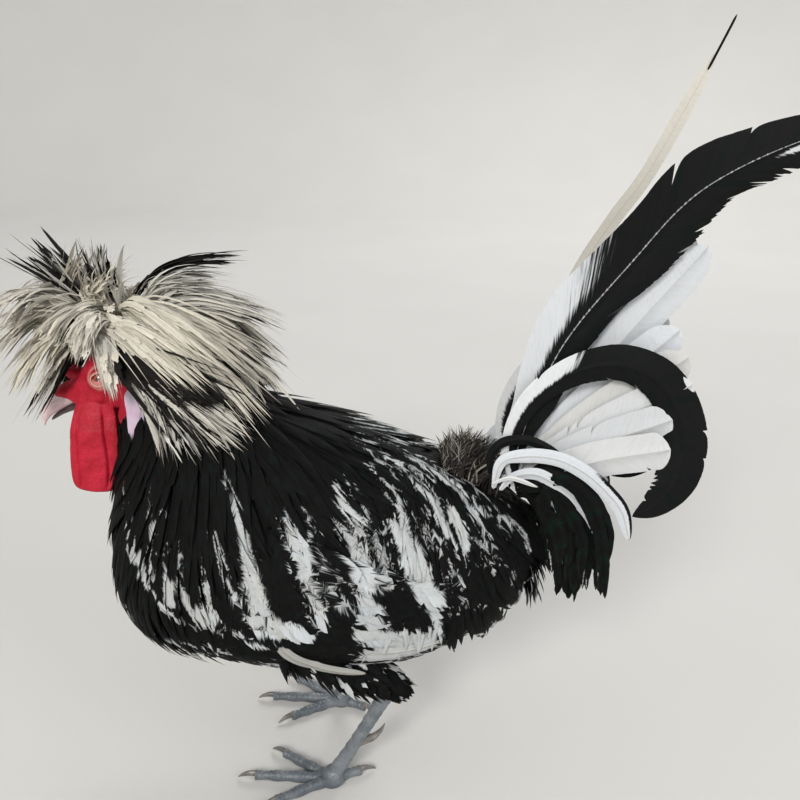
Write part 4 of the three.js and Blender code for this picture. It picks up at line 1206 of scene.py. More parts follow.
def make_claw(heading, length, side):
    direction, across = toe_axes(heading, side)
    further, up, size = columns(CLAW, 20)
    middle = ANKLE + [0, side * LEG_SPREAD, 0] + direction * (length + further)[:, None]
    middle[:, 2] = up
    along = unit(np.gradient(middle, axis=0))
    rise = np.cross(across, along)
    turn = circle(18)
    rings = middle[:, None] + rise[:, None] * (size[:, None] * cosd(turn))[..., None] + across * (
        0.75 * size[:, None] * sind(turn))[..., None]
    rings[..., 2] = np.maximum(rings[..., 2], 0.0)
    return mesh_object("claw", *loft(rings[:, ::-1]))


def make_foot(label, side):
    x, z, size = (column[:, None] for column in columns(PAD, 20))
    turn = circle(40)
    y = side * LEG_SPREAD + 0.9 * size * sind(turn)
    pad = mesh_object("pad", *loft(np.stack(np.broadcast_arrays(x + size * cosd(turn), y, z), -1)))
    toes = [make_toe(*each, side) for each in TOES]
    foot = join([pad, *toes])
    foot.name = f"foot_{label}_scales"
    claws = join([make_claw(heading, length, side) for heading, length, _ in TOES])
    claws.name = f"claws_{label}"
    finish_piece(foot, leg_scale, [f"foot_{label}"])
    finish_piece(claws, claw_horn)


# The coat

BODY_GREY = 0.22


def on_body(rib, turn, side, laid, half, width, rng, **looks):
    """Feathers laid over the body that carry its marks. laid holds what laid_path takes after the roots."""
    path, up, place = laid_path(rib, turn, side, **laid)
    kind = np.full(len(rib), BLACK)
    return plumes(path, up, half, width, "small", 0.6, kind, unwrap(rib, turn, side), rng, place=place,
                  grey=BODY_GREY, **looks)


def hackle_feathers(rng):
    """The cape: long narrow feathers from the nape and throat that fall over the shoulders and breast."""
    rib, turn, side = tract(0.15, 3.7, 0, 180, 6.0, 6.0, rng)
    count = len(rib)
    length = np.interp(rib, [0, 1.5, 3.7], [48, 78, 88]) * rng.uniform(0.82, 1.12, count)
    angle = 26 * sind(turn) + rng.normal(0, 5, count)
    front = step(turn, 120, 165)
    length = length * (1 - 0.35 * front)
    high = np.interp(rib, [0, 2.6, 3.7], [9, 8, 5]) + rng.uniform(-2, 2.0, count)
    laid = {"length": length, "angle": angle, "stations": 24, "low": -3, "high": high, "droop": 12}
    return [on_body(rib, turn, side, laid, rng.uniform(3.2, 4.6, count), "lance", rng)]


def contour_feathers(rng):
    """Small feathers over breast, sides, back and belly, in a group for each side."""
    rib, turn, side = tract(2.6, 11.2, 0, 180, 6.6, 6.4, rng)
    hidden = (rib > 4.6) & (rib < 7.6) & (turn > 68) & (turn < 108)
    rib, turn, side = (v[~hidden] for v in (rib, turn, side))
    groups = []
    for on in (side < 0, side > 0):
        ribs, around, sides = rib[on], turn[on], side[on]
        count = len(ribs)
        length = np.interp(ribs, [2.6, 4, 7, 11], [36, 40, 34, 28]) * rng.uniform(0.85, 1.15, count)
        angle = np.interp(ribs, [2.6, 5, 8, 11], [30, 22, 10, 4]) * sind(around) + rng.normal(0, 6, count)
        laid = {"length": length, "angle": angle, "stations": 14, "low": -6,
                "high": rng.uniform(1.0, 3.0, count), "droop": 6}
        half = rng.uniform(4.0, 5.4, count)
        groups.append(on_body(ribs, around, sides, laid, half, "contour", rng, slant=1.7))
    return groups


def thigh_feathers(rng):
    """Loose feathers over each thigh, down to the hock."""
    groups = []
    count = 370
    for _, side in SIDES:
        t = rng.uniform(0, 1, count) ** 0.68
        around = rng.uniform(0, 360, count)
        line = catmull(THIGH_ROWS, 4 * t)
        further = catmull(THIGH_ROWS, np.minimum(4 * t + 0.25, 4.2))
        along = unit((further - line)[:, :3] * [1, side, 1])
        out = np.cross(along, [0.0, 1.0, 0.0])
        radial = out * cosd(around)[:, None] + np.array([0.0, 1.0, 0.0]) * sind(around)[:, None]
        root = line[:, :3] * [1, side, 1] + radial * (line[:, 3:] - 3)
        length = rng.uniform(24, 36, count) * (1 - 0.45 * t)
        lie = unit(along + [0, 0, -0.15] + rng.normal(0, 0.07, (count, 3)))
        tip = root + lie * length[:, None] + radial * (mix(6.0, 2.5, t))[:, None]
        control = root + lie * (0.5 * length)[:, None] + radial * (mix(6.0, 3.0, t))[:, None]
        path = bezier(root, control, tip, 12)
        kind = pick(np.full(count, 0.22), [STREAK, TIP, GREY], [BLACK], rng)
        uv = np.stack([0.3 + 0.2 * t, 0.5 + side * (0.1 + 0.3 * around / 360)], 1)
        up = np.broadcast_to(radial[:, None], path.shape)
        groups.append(plumes(path, up, rng.uniform(2.8, 4.2, count), "lance", "small", 0.5, kind, uv, rng,
                             fray=0.2, splits=0.08, grey=BODY_GREY))
    return groups


def vent_feathers(rng):
    """Fluff that covers the rear of the body under the tail."""
    count = 150
    turn, reach = rng.uniform(0, 360, count), np.sqrt(rng.uniform(0, 1, count))
    root = np.stack([85 - 3 * reach, 21 * reach * sind(turn), 184 + 20 * reach * cosd(turn)], 1)
    lie = unit(np.stack([np.full(count, 0.55), 0.5 * reach * sind(turn), -0.85 + 0.2 * cosd(turn)], 1)
               + rng.normal(0, 0.1, (count, 3)))
    length = rng.uniform(26, 40, (count, 1))
    path = bezier(root, root + [9, 0, 0] + 0.4 * length * lie, root + length * lie, 12)
    up = np.broadcast_to(unit(np.array([0.85, 0.0, 0.55])), path.shape)
    kind = pick(np.full(count, 0.2), [STREAK, TIP, GREY], [BLACK], rng)
    uv = np.stack([0.96 + 0.02 * reach * cosd(turn), 0.5 + 0.05 * reach * sind(turn)], 1)
    return [plumes(path, up, rng.uniform(3.4, 5.0, count), "contour", "small", 0.5, kind, uv, rng, fray=0.2,
                   splits=0.1, grey=BODY_GREY)]


def saddle_feathers(rng):
    """Pointed feathers from the back that fall over the wings and to each side of the tail."""
    rib, turn, side = tract(4.6, 10.8, 2, 82, 6.5, 6.5, rng)
    count = len(rib)
    length = np.interp(rib, [4.6, 7, 9, 10.8], [58, 82, 88, 74]) * rng.uniform(0.85, 1.12, count)
    length *= 1 - 0.25 * step(turn, 50, 82) * (1 - step(rib, 7.5, 9))
    angle = 24 + 26 * sind(turn) + rng.normal(0, 5, count)
    high = np.interp(rib, [4.6, 8, 10.8], [5, 8, 12]) + rng.uniform(-1.5, 2.0, count)
    laid = {"length": length, "angle": angle, "stations": 24, "low": -5, "high": high, "droop": 26}
    return [on_body(rib, turn, side, laid, rng.uniform(3.0, 4.4, count), "lance", rng, splits=0.06)]


# The folded wing

WING_FRONT, WING_REAR, WING_TOP, WING_BOTTOM = 4.55, 7.5, 62.0, 113.0
WING_STATIONS = 60


def wing_height(rib, turn):
    u = (2 * rib - WING_FRONT - WING_REAR) / (WING_REAR - WING_FRONT)
    v = (2 * turn - WING_TOP - WING_BOTTOM) / (WING_BOTTOM - WING_TOP)
    return 3 + 7 * np.maximum(0, 1 - u * u) * np.maximum(0, 1 - v * v)


# Rows of the wing: count, roots and tips as (rib, turn) from the lowest feather up, half width, lift, how
# much each feather lies above the last, and shape.
WING_ROWS = {
    "primaries": (9, [(5.0, 110), (6.3, 104)], [(7.9, 122), (8.8, 108)], 6.5, 0.0, 0.4, "quill"),
    "secondaries": (12, [(5.7, 104), (7.1, 70)], [(7.7, 114), (8.9, 78)], 8.8, 1.8, 0.2, "quill"),
    "primary coverts": (7, [(4.9, 110), (5.7, 103)], [(6.5, 118), (7.4, 108)], 5.5, 2.2, 0.1, "quill"),
    "greater coverts": (12, [(5.2, 105), (6.5, 68)], [(6.9, 113), (8.0, 76)], 7.4, 3.0, 0.1, "contour"),
    "median coverts": (12, [(4.95, 102), (6.1, 68)], [(6.3, 110), (7.3, 75)], 7.0, 3.8, 0.1, "contour"),
}
PALE_PRIMARY = (1, [(5.5, 98)] * 2, [(7.45, 119)] * 2, 4.2, 9.5, 0.0, "quill")
SHOULDER_ROWS, SHOULDER_COUNT = 9, 15


def wing_row(rng, side, row, kind, fray=0.07, splits=0.04):
    count, roots, tips, half, lift, stack, width = row
    t = np.linspace(0, 1, count)[:, None]
    (low_root, high_root), (low_tip, high_tip) = np.array([roots, tips], float)
    root = mix(low_root, high_root, t) + rng.normal(0, [0.03, 0.6], (count, 2))
    tip = mix(low_tip, high_tip, t) + rng.normal(0, [0.06, 1.0], (count, 2))
    s = np.linspace(0, 1, WING_STATIONS)[None, :]
    rib = mix(root[:, :1], tip[:, :1], s)
    turn = mix(root[:, 1:], tip[:, 1:], s) + 3 * np.sin(np.pi * s)
    rise = 1 - (1 - np.minimum(1, 1.8 * s)) ** 2
    height = wing_height(rib, turn) + mix(-5, lift + stack * np.arange(count)[:, None], rise)
    sides = np.full(rib.shape, float(side))
    path = over_body(rib, turn, sides, height)
    up = shell_normal(rib, turn, sides)
    lean = unit(up + 0.10 * unit(shell(rib, turn - 4, sides) - shell(rib, turn, sides)))
    section = "quill" if width == "quill" else "vane"
    uv = unwrap(root[:, 0], root[:, 1], float(side))
    half = half * rng.uniform(0.92, 1.08, count)
    return plumes(path, lean, half, width, section, 0.8, np.full(count, kind), uv, rng, fray=fray,
                  splits=splits, place=(rib, turn, sides), grey=BODY_GREY)


def wing_feathers(rng, side):
    """The flight feathers with their coverts, one pale primary, and the small feathers of the shoulder."""
    groups = [wing_row(rng, side, row, BLACK) for row in WING_ROWS.values()]
    pale = wing_row(rng, side, PALE_PRIMARY, WHITE, fray=0.02, splits=0.0)
    pale["look"][:, 2] = 0.5
    pale["vane"][:, 2] = 0.55
    groups.append(pale)
    count = SHOULDER_COUNT
    for row in range(SHOULDER_ROWS):
        t = row / (SHOULDER_ROWS - 1)
        first, last = (4.35 + 1.5 * t, 64 + 4 * t), (4.5 + 0.55 * t, 112 - 2 * t)
        rib = np.linspace(first[0] - 0.1, last[0], count) + rng.normal(0, 0.05, count)
        turn = np.linspace(first[1], last[1], count) + rng.normal(0, 1.2, count)
        length = mix(26, 40, t) * rng.uniform(0.9, 1.1, count)
        angle = 22 + rng.normal(0, 6, count)
        high = mix(2.5, 5.0, t) + rng.uniform(-0.5, 1, count)
        laid = {"length": length, "angle": angle, "stations": 16, "low": -3, "high": high, "droop": 8,
                "base": wing_height}
        half = rng.uniform(5.2, 7, count)
        groups.append(on_body(rib, turn, np.full(count, float(side)), laid, half, "contour", rng, fray=0.12,
                              splits=0.06))
    return groups


# The crest

PALE_AND_GREY = [WHITE, WHITE, WHITE, GREY]
PALE_WITH_TIPS = [WHITE, WHITE, WHITE, DARK_TIP]
# Bundles of crest feathers on the left side, mirrored on the right: root azimuth and elevation on the core,
# the bend and tip of the middle feather (x, y, z), how far the tips spread, count, half width, warmth and
# markings.
CREST_BUNDLES = {
    "forward droop": (-165, 32, (-234, -14, 346), (-258, -26, 312), 11, 26, 3.6, 0.8, [WHITE]),
    "forward low": (-160, 14, (-228, -18, 328), (-251, -25, 286), 9, 24, 3.6, 0.9, [WHITE]),
    "over the beak": (-162, 3, (-218, -16, 313), (-243, -19, 268), 5, 9, 3.0, 0.7, [WHITE, LACED]),
    "beak edge": (-158, -2, (-213, -21, 305), (-240, -17, 262), 2.5, 4, 2.4, 0.2, [BLACK]),
    "forward arch": (-158, 45, (-232, -22, 366), (-254, -34, 332), 10, 20, 3.4, 0.6, PALE_AND_GREY),
    "front spikes": (-165, 60, (-220, -12, 358), (-238, -16, 372), 11, 13, 2.1, 0.2, [BLACK, BLACK, GREY]),
    "curled front": (180, 62, (-228, -9, 342), (-208, -10, 370), 6, 10, 3.4, 1.0, [WHITE]),
    "top spikes": (150, 84, (-200, -5, 360), (-197, -5, 376), 10, 12, 2.0, 0.3, [BLACK, GREY]),
    "knob": (-120, 62, (-203, -13, 354), (-190, -16, 360), 8, 24, 2.2, 1.0, [WHITE]),
    "dark plume": (-12, 74, (-162, -5, 374), (-106, 1, 373), 6, 9, 3.2, 0.1, [BLACK]),
    "under the plume": (-20, 60, (-162, -10, 364), (-124, -10, 358), 8, 24, 3.0, 0.3, [WHITE, WHITE, GREY]),
    "back upper": (-15, 45, (-142, -13, 360), (-86, -11, 334), 8, 28, 2.8, 0.4,
                   [WHITE, GREY, WHITE, DARK_TIP]),
    "back sweep": (-25, 38, (-142, -26, 354), (-86, -20, 304), 11, 42, 2.8, 0.8, PALE_WITH_TIPS),
    "back low": (-35, 26, (-138, -40, 337), (-92, -36, 276), 11, 36, 2.9, 0.8, PALE_WITH_TIPS),
    "nape": (-4, 22, (-126, -6, 336), (-90, -10, 272), 14, 22, 4.0, 0.6, [WHITE, DARK_TIP]),
    "dome": (-60, 55, (-168, -32, 362), (-112, -48, 318), 12, 52, 2.5, 0.9, [WHITE]),
    "side": (-95, 36, (-172, -46, 344), (-124, -57, 306), 10, 44, 2.5, 0.9, [WHITE]),
    "black patch": (-96, 14, (-160, -50, 322), (-106, -53, 292), 10, 36, 4.2, 0.1, [BLACK]),
    "streaked": (-88, 3, (-146, -56, 308), (-98, -52, 270), 10, 26, 3.4, 0.4, [TIP, TIP, STREAK]),
    "streaked low": (-88, -4, (-146, -54, 300), (-114, -57, 266), 8, 18, 3.2, 0.4, [TIP, HALF, BLACK]),
    "hanging": (-94, 2, (-144, -56, 304), (-139, -56, 252), 5, 9, 3.0, 0.4, [LACED, STREAK, GREY]),
    "hanging black": (-90, -6, (-144, -54, 292), (-124, -55, 256), 6, 9, 2.8, 0.1, [BLACK, TIP]),
    "behind the eye": (-112, 26, (-182, -50, 334), (-178, -43, 291), 2.6, 22, 2.4, 0.4,
                       [WHITE, WHITE, GREY]),
    "brow": (-142, 10, (-202, -27, 326), (-208, -29, 316), 3.5, 14, 1.7, 0.4, [GREY, WHITE, BLACK]),
    "front side": (-112, 62, (-200, -38, 356), (-214, -45, 329), 7, 34, 2.6, 0.9, PALE_AND_GREY),
    "low front side": (-108, 44, (-188, -46, 350), (-196, -50, 324), 6, 30, 2.6, 0.7, [WHITE, WHITE, GREY]),
    "cheek fringe": (-118, 20, (-196, -42, 334), (-199, -39, 313), 3.5, 16, 1.8, 0.5, [GREY, WHITE]),
    "dark flecks": (-138, 30, (-206, -39, 344), (-212, -42, 332), 3, 5, 2.6, 0.1, [BLACK]),
    "brow flecks": (-146, 14, (-210, -34, 328), (-217, -34, 318), 3, 5, 2.0, 0.1, [BLACK, GREY]),
    "under the back": (-40, 2, (-132, -32, 312), (-104, -42, 264), 10, 18, 3.8, 0.3, [BLACK, TIP]),
}
FEATHER_STATIONS, WISP_STATIONS = 24, 10


def crest_spot(azimuth, elevation, reach):
    """A point of the crest's core, or as far in as reach says."""
    flat = cosd(elevation)
    along = np.stack([flat * cosd(azimuth), flat * sind(azimuth), sind(elevation)], -1)
    return CREST_CENTRE + reach * CREST_CORE * along


def crest_uv(azimuth, elevation):
    return 0.5 + 0.0026 * (95 - elevation)[:, None] * np.stack([cosd(azimuth), sind(azimuth)], 1)


def crest_feathers(rng, side, wisp):
    """Long soft feathers in bundles that rise from the knob, bend over and hang, or their finest wisps."""
    groups = []
    mirror = np.array([1, -side, 1])
    for azimuth, elevation, bend, tip, spread, count, half, warm, kinds in CREST_BUNDLES.values():
        n = 3 * count // 2 if wisp else count
        azimuths = azimuth + rng.normal(0, 11, n)
        elevations = elevation + rng.normal(0, 7, n)
        root = crest_spot(azimuths, elevations, 0.8)
        drift = rng.normal(0, 1, (n, 3)) * [1, 0.7, 0.7]
        apart = root - crest_spot(azimuth, elevation, 0.8)
        middle = np.array(bend) + 0.7 * apart + 0.35 * spread * drift
        wide = spread * (1.15 if wisp else 0.8)
        end = np.array(tip) + 0.5 * apart + wide * drift * rng.uniform(0.6, 1, (n, 1))
        end = root + (end - root) * rng.uniform(0.86, 1.04, (n, 1))
        end[:, 1] = np.clip(end[:, 1], -64, 64)
        stations = WISP_STATIONS if wisp else FEATHER_STATIONS
        path = bezier(root * mirror, middle * mirror, end * mirror, stations)
        up = unit(path - CREST_CENTRE)
        roll = rng.normal(0, 0.35, n)[:, None, None]
        along = unit(np.gradient(path, axis=1))
        up = up * np.cos(roll) + np.cross(along, up) * np.sin(roll)
        kind = rng.choice(kinds, n)
        size = rng.uniform(0.45, 0.9, n) if wisp else half * rng.uniform(0.7, 1.15, n)
        uv = crest_uv(-side * azimuths, elevations)
        loose = min(1.0, np.linalg.norm(np.array(tip) - bend) / 45)
        groups.append(plumes(path, up, size, "plume", "small", 0.4, kind, uv, rng, cup=0.25,
                             slant=2.4 * loose, fray=0.15, splits=0.2 * loose, depth=0.8 * loose, warm=warm,
                             grey=0.04))
    return groups


def crest_down(rng):
    """The short underlayer of the crest all over the knob, dark only where the black patch is."""
    count = 460
    azimuth = rng.uniform(-180, 180, count)
    elevation = np.degrees(np.arcsin(rng.uniform(-0.12, 0.995, count)))
    face = (np.abs(azimuth) > 95) & (elevation < 18)
    azimuth, elevation = azimuth[~face], elevation[~face]
    count = len(azimuth)
    root = crest_spot(azimuth, elevation, 0.75)
    back = np.array([1.0, 0, -0.25]) * step(cosd(azimuth), -0.4, 0.6)[:, None]
    out = unit(root - CREST_CENTRE)
    middle = root + out * rng.uniform(14, 20, (count, 1)) + back * 6
    low = step(cosd(azimuth), -0.9, -0.2)[:, None]
    end = middle + (out * 0.5 + back * 1.2 - [0, 0, 0.6] * low) * rng.uniform(14, 24, (count, 1))
    path = bezier(root, middle, end, 22)
    dark = (elevation < 22) & (np.abs(azimuth) < 90)
    kind = np.where(dark, BLACK, WHITE)
    up = unit(path - CREST_CENTRE)
    uv = crest_uv(azimuth, elevation)
    return [plumes(path, up, rng.uniform(3.2, 4.6, count), "plume", "small", 0.45, kind, uv, rng, cup=0.25,
                   slant=2.2, fray=0.12, splits=0.14, depth=0.8, warm=0.8)]


# The tail

def tail_path(points, side, out, spread, stations):
    points = np.array(points, float)
    dense = catmull(points, np.linspace(0, len(points) - 1, 400))
    run = np.concatenate([[0], np.cumsum(np.linalg.norm(np.diff(dense, axis=0), axis=1))])
    t = np.linspace(0, 1, stations)
    x, z = (np.interp(t * run[-1], run, dense[:, k]) for k in range(2))
    y = side * (out + spread * t * run[-1])
    return np.stack([x, np.broadcast_to(y, x.shape), z], 1)


# The main feathers of the tail: length and rise in degrees, from the top down.
FAN = [(196, 63), (201, 58), (152, 51), (143, 45), (136, 39), (114, 33), (104, 24)]
# Middle lines of the tail's curved feathers, as x and z from the root.
MAIN_SICKLE = [(76, 228), (80, 262), (100, 327), (137, 384), (173, 429), (228, 460), (262, 463), (293, 443)]
FAR_SICKLE = [(88, 230), (92, 300), (112, 364), (132, 403), (150, 432), (169, 473), (184, 507)]
BARE_SHAFT = [(180, 497), (187, 514), (193, 529)]
LOW_SICKLE = [(80, 228), (73, 260), (82, 289), (103, 310), (130, 320), (155, 315), (173, 298), (183, 273),
              (182, 247), (171, 229), (156, 219)]
OUTER_LESSER = [(64, 232), (68, 251), (84, 257), (104, 256), (122, 248), (137, 236), (149, 222), (156, 202)]
INNER_LESSER = [(68, 232), (76, 242), (90, 245), (104, 239), (118, 229), (130, 216), (139, 198)]
DARK_CRESCENT = [(62, 240), (61, 254), (68, 264), (82, 267), (96, 263), (108, 257)]
DARK_INNER = [(112, 238), (134, 262), (152, 290)]
THIN_WHITE = [(62, 238), (74, 243), (92, 238)]
COVERTS = [
    [(82, 232), (104, 248), (130, 234), (144, 206), (148, 168)],
    [(80, 230), (98, 238), (118, 222), (129, 194), (132, 154)],
    [(80, 226), (90, 226), (104, 210), (113, 186), (114, 152)],
]

# Where a covert's line may wander: everywhere but at its root.
FIXED_ROOT = [[0], [1], [1], [1], [1]]


def tail_feather(rng, points, side, out, spread, half, width, kind, stations=150, lean=0.0, section="quill",
                 **looks):
    """A feather of the tail. out is how far its root lies from the middle and spread how fast that grows."""
    path = tail_path(points, side, out, spread, stations)[None]
    up = np.zeros_like(path)
    up[..., 1] = side
    up[..., 2] = lean
    uv = np.array([[0.85, 0.5 + 0.012 * side * out]])
    options = {"cup": 0.10, "fray": 0.025, "splits": 0.02, "slant": 1.3, **looks}
    if side > 0:
        options["vanes"] = options.get("vanes", (1, 1))[::-1]
        options["frays"] = options.get("frays", (1, 1))[::-1]
    half, kind = np.array([float(half)]), np.array([kind])
    return plumes(path, up, half, width, section, 1.0, kind, uv, rng, **options)


def sickle_paint(side):
    """Black, with a white upper vane at the root, a pale shaft and a white streak near the end."""
    def paint(x, t):
        hang = -side * x
        base = (1 - step(t, 0.20, 0.50)) * (1 - step(hang, -0.45, 0.0))
        down = (1 - step(t, 0.03, 0.12)) * step(hang, 0.2, 0.9)
        width = np.maximum(0.02, 0.55 * (t - 0.68))
        streak = step(t, 0.71, 0.78) * np.exp(-(((hang - 0.25) / width) ** 2))
        shaft = 0.6 * (np.abs(x) < 0.03) * step(t, 0.02, 0.1)
        return np.maximum.reduce([0.95 * base, 0.6 * down, streak, shaft + 0 * streak])
    return paint


def low_sickle_paint(side):
    """Black, with a white outer vane from the root to the top of its bend."""
    def paint(x, t):
        hang = -side * x
        return (1 - step(t, 0.30, 0.44)) * (1 - step(hang, -0.35, 0.25))
    return paint


def edged_paint(side):
    """White, with a black outer edge towards the tip."""
    def paint(x, t):
        hang = -side * x
        return 1 - 0.95 * step(t, 0.5, 0.7) * (1 - step(hang, -0.75, -0.4))
    return paint


def tail_feathers(rng):
    """A fan of straight main feathers, with sickles and hanging coverts over them."""
    groups = []
    smooth = {"fray": 0.012, "splits": 0.0, "slant": 0.8}
    for j, (length, rise) in enumerate(FAN):
        lengthwise = np.array([cosd(rise), sind(rise)])
        crosswise = np.array([-sind(rise), cosd(rise)])
        for _, side in SIDES:
            reach = length * rng.uniform(0.98, 1.0)
            line = [TAIL_ROOT[[0, 2]] + reach * share * lengthwise + lean * crosswise
                    for share, lean in ((0, 0), (0.5, 5), (1, 0))]
            groups.append(tail_feather(rng, line, side, 1.4 + 2 * j, 0.018 + 0.03 * j, 13.5, "strap", WHITE,
                                       90, cup=0.05, fray=0.02, splits=0.012, grey=0.06))
    groups.append(tail_feather(rng, MAIN_SICKLE, -1, 16, 0.03, 21, "sickle", BLACK, 300, section="broad",
                               fray=0.05, splits=0.05, depth=0.4, slant=2.0, vanes=(0.95, 1.1),
                               frays=(0.15, 1.6), paint=sickle_paint(-1)))
    groups.append(tail_feather(rng, FAR_SICKLE, 1, 16, 0.02, 5.0, "strap", WHITE, 160, warm=0.9, **smooth))
    groups.append(tail_feather(rng, BARE_SHAFT, 1, 21, 0.02, 0.8, "strap", BLACK, 24, **smooth))
    for _, side in SIDES:
        groups.append(tail_feather(rng, LOW_SICKLE, side, 20, 0.05, 15.5, "hook", BLACK, 260, section="broad",
                                   fray=0.04, splits=0.03, depth=0.3, frays=(0.4, 1.2), slant=1.0,
                                   paint=low_sickle_paint(side)))
        groups.append(tail_feather(rng, DARK_INNER, side, 15, 0.02, 6.0, "contour", BLACK, 60, **smooth))
        if side < 0:
            groups.append(tail_feather(rng, DARK_CRESCENT, side, 24, 0.05, 3.6, "contour", BLACK, 90,
                                       **smooth))
        groups.append(tail_feather(rng, OUTER_LESSER, side, 27, 0.05, 5.2, "quill", WHITE, section="broad",
                                   paint=edged_paint(side), grey=0.10, **smooth))
        groups.append(tail_feather(rng, INNER_LESSER, side, 29, 0.05, 4.4, "quill", WHITE, grey=0.14,
                                   **smooth))
        groups.append(tail_feather(rng, THIN_WHITE, side, 33, 0.05, 1.6, "contour", WHITE, 50, **smooth))
    return groups


def covert_feathers(rng):
    """Soft black feathers that hang over the root of the tail."""
    groups = []
    for _, side in SIDES:
        for _ in range(42):
            s = rng.uniform(0, 2)
            path = catmull(np.array(COVERTS, float).reshape(3, -1), np.array(s)).reshape(-1, 2)
            shrink = rng.uniform(0.62, 1.0)
            path = path[0] + (path - path[0]) * shrink + rng.normal(0, 2.0, (len(path), 2)) * FIXED_ROOT
            kind = rng.choice([BLACK] * 8 + [SHAFT])
            groups.append(tail_feather(rng, path, side, rng.uniform(12, 27), rng.uniform(0.08, 0.2),
                                       rng.uniform(4, 7), "contour", kind, 44, lean=0.3, fray=0.10,
                                       splits=0.06))
    return groups


def tail_down(rng):
    """Soft grey brown down that stands up between the saddle and the tail, in fine wisps."""
    count = 1100
    x = rng.uniform(30, 70, count)
    y = np.clip(rng.normal(2, 9, count), -14, 24)
    back = np.interp(x, RIBS[:, 2], RIBS[:, 3]) - 4 - 0.008 * y**2
    root = np.stack([x, y, back], 1)
    lean = np.stack([rng.normal(0.2, 0.3, count), 0.02 * y + rng.normal(0, 0.2, count), np.ones(count)], 1)
    length = rng.uniform(0.7, 1.08, count) * np.interp(x, [30, 42, 60, 70], [18, 32, 34, 28])
    length = length[:, None]
    end = root + unit(lean) * length
    middle = root + unit(lean * [-0.6, 1, 1]) * length * 0.55
    path = bezier(root, middle, end, 10)
    up = np.broadcast_to(unit(rng.normal(0, 1, (count, 3)) + [0, 1, 0])[:, None], path.shape)
    uv = np.stack([0.6 + 0.003 * x, 0.5 + 0.002 * y], 1)
    kind = np.where(rng.random(count) < np.interp(x, [30, 60], [0.5, 0.05]), WHITE, BLACK)
    return [plumes(path, up, rng.uniform(0.4, 0.9, count), "plume", "small", 0.4, kind, uv, rng, cup=0.3,
                   slant=2.0, fray=0.3, splits=0.2, depth=0.8)]


# Floor, light and camera

def make_floor():
    """A round floor whose rim turns up into a wall on every side."""
    reach, radius, top, sides = 3.2, 1.4, 4.0, 96
    profile = [(0.001, 0.0), (0.6, 0.0), (reach, 0.0)]
    bend = np.radians(np.linspace(5, 90, 18))
    profile += [(reach + radius * np.sin(a), radius * (1 - np.cos(a))) for a in bend]
    profile += [(reach + radius, top)]
    turn = 2 * np.pi * np.arange(sides) / sides
    points = [(r * np.cos(a), r * np.sin(a), z) for r, z in profile for a in turn]
    faces = []
    for i in range(len(profile) - 1):
        a, b = i * sides, (i + 1) * sides
        faces += [(b + k, b + (k + 1) % sides, a + (k + 1) % sides, a + k) for k in range(sides)]
    mesh = bpy.data.meshes.new("studio_floor")
    mesh.from_pydata(points, [], faces)
    mesh.polygons.foreach_set("use_smooth", np.ones(len(faces), bool))
    floor = bpy.data.objects.new("studio_floor", mesh)
    bpy.context.scene.collection.objects.link(floor)
    material, tree, shader = nodes_of("studio_paper")
    colour = blend(tree, grain(tree, place_of(tree), 3.0), (0.53, 0.52, 0.50), (0.565, 0.555, 0.535))
    set_inputs(tree, shader, {"Base Color": colour, "Roughness": 0.9})
    mesh.materials.append(material)


CAMERA_X, CAMERA_Y, CAMERA_Z = 0.0, -540.0, 468.0
CAMERA_PITCH, CAMERA_ROLL = 19.0, 2.4
FOCAL_PIXELS, FRAME_PIXELS, SENSOR = 850.0, 800.0, 36.0


def make_camera():
    data = bpy.data.cameras.new("camera")
    data.sensor_width = SENSOR
    data.lens = SENSOR * FOCAL_PIXELS / FRAME_PIXELS
    camera = bpy.data.objects.new("camera", data)
    bpy.context.scene.collection.objects.link(camera)
    pitch = Matrix.Rotation(np.radians(90 - CAMERA_PITCH), 4, "X")
    roll = Matrix.Rotation(np.radians(CAMERA_ROLL), 4, "Z")
    camera.matrix_world = Matrix.Translation(to_frame([CAMERA_X, CAMERA_Y, CAMERA_Z])) @ pitch @ roll
    bpy.context.scene.camera = camera


def area_light(name, place, aim, size, power, colour):
    data = bpy.data.lights.new(name, "AREA")
    data.shape, data.size, data.energy, data.color = "DISK", size, power, colour
    lamp = bpy.data.objects.new(name, data)
    bpy.context.scene.collection.objects.link(lamp)
    lamp.location = place
    lamp.rotation_euler = (Vector(aim) - Vector(place)).to_track_quat("-Z", "Y").to_euler()


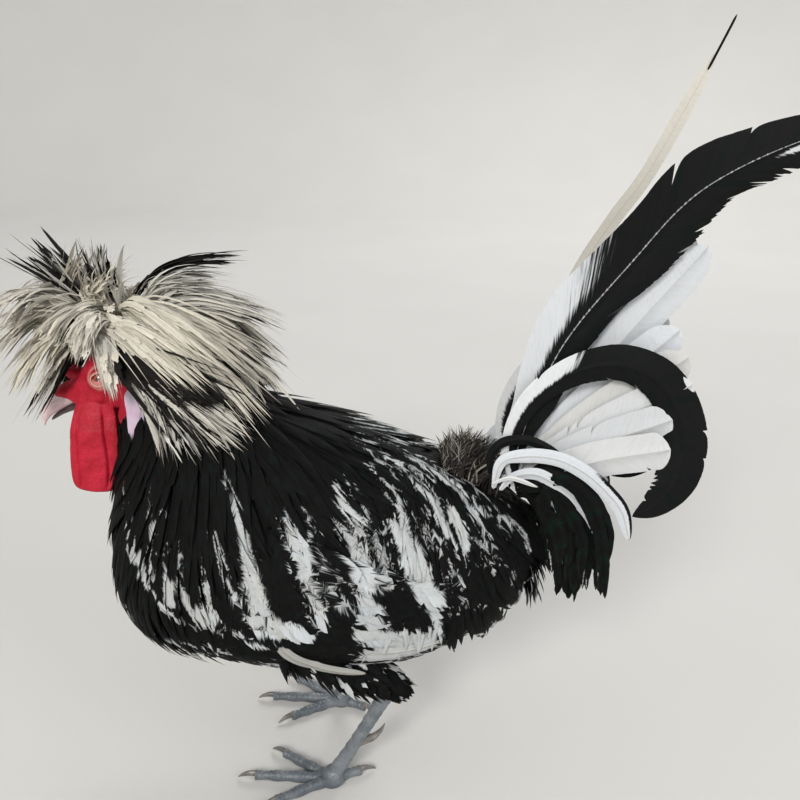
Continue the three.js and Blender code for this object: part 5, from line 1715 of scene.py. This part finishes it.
def make_lights():
    aim = (0, 0, 0.24)
    area_light("key", (-1.2, -3.7, 2.6), aim, 1.3, 155, (1.0, 0.98, 0.95))
    area_light("fill", (3.0, -2.3, 2.2), aim, 2.4, 50, (0.93, 0.96, 1.0))
    area_light("rear", (1.2, 3.6, 3.0), aim, 2.0, 90, (1.0, 1.0, 1.0))
    world = bpy.data.worlds.new("studio")
    world.use_nodes = True
    sky = world.node_tree.nodes["Background"]
    set_inputs(world.node_tree, sky, {"Color": (0.84, 0.86, 0.88, 1), "Strength": 0.72})
    bpy.context.scene.world = world
    bpy.context.scene.view_settings.view_transform = "Standard"


make_skin()
make_beak()
for label, side in SIDES:
    make_eye(label, side)
    make_lids(label, side)
    make_shank(label, side)
    make_foot(label, side)
coat("hackle", hackle_feathers(np.random.default_rng(11)), body_plumage, "body_plumage")
for (label, _), group in zip(SIDES, contour_feathers(np.random.default_rng(12))):
    coat(f"contour_{label}_feathers", [group], body_plumage, "body_plumage")
coat("thigh_feathers", thigh_feathers(np.random.default_rng(13)), body_plumage, "body_plumage")
coat("vent_feathers", vent_feathers(np.random.default_rng(15)), body_plumage, "body_plumage")
coat("saddle", saddle_feathers(np.random.default_rng(14)), body_plumage, "body_plumage")
for index, (label, side) in enumerate(SIDES):
    coat(f"wing_{label}_feathers", wing_feathers(np.random.default_rng(20 + index), side), body_plumage,
         "body_plumage", [f"wing_{label}"])
for index, (label, side) in enumerate(SIDES):
    feathers = crest_feathers(np.random.default_rng(31 + index), side, False)
    coat(f"crest_{label}_feathers", feathers, crest_plumage, "crest_plumage")
    wisps = crest_feathers(np.random.default_rng(34 + index), side, True)
    coat(f"crest_{label}_wisps", wisps, crest_plumage, "crest_plumage")
coat("crest_down", crest_down(np.random.default_rng(33)), crest_plumage, "crest_plumage", ["crest"])
coat("tail_feathers", tail_feathers(np.random.default_rng(41)), tail_plumage, "tail_plumage", ["tail"])
coat("tail_coverts", covert_feathers(np.random.default_rng(42)), covert_plumage, "tail_plumage")
coat("tail_down", tail_down(np.random.default_rng(43)), down_plumage, "tail_plumage")
make_floor()
make_lights()
make_camera()
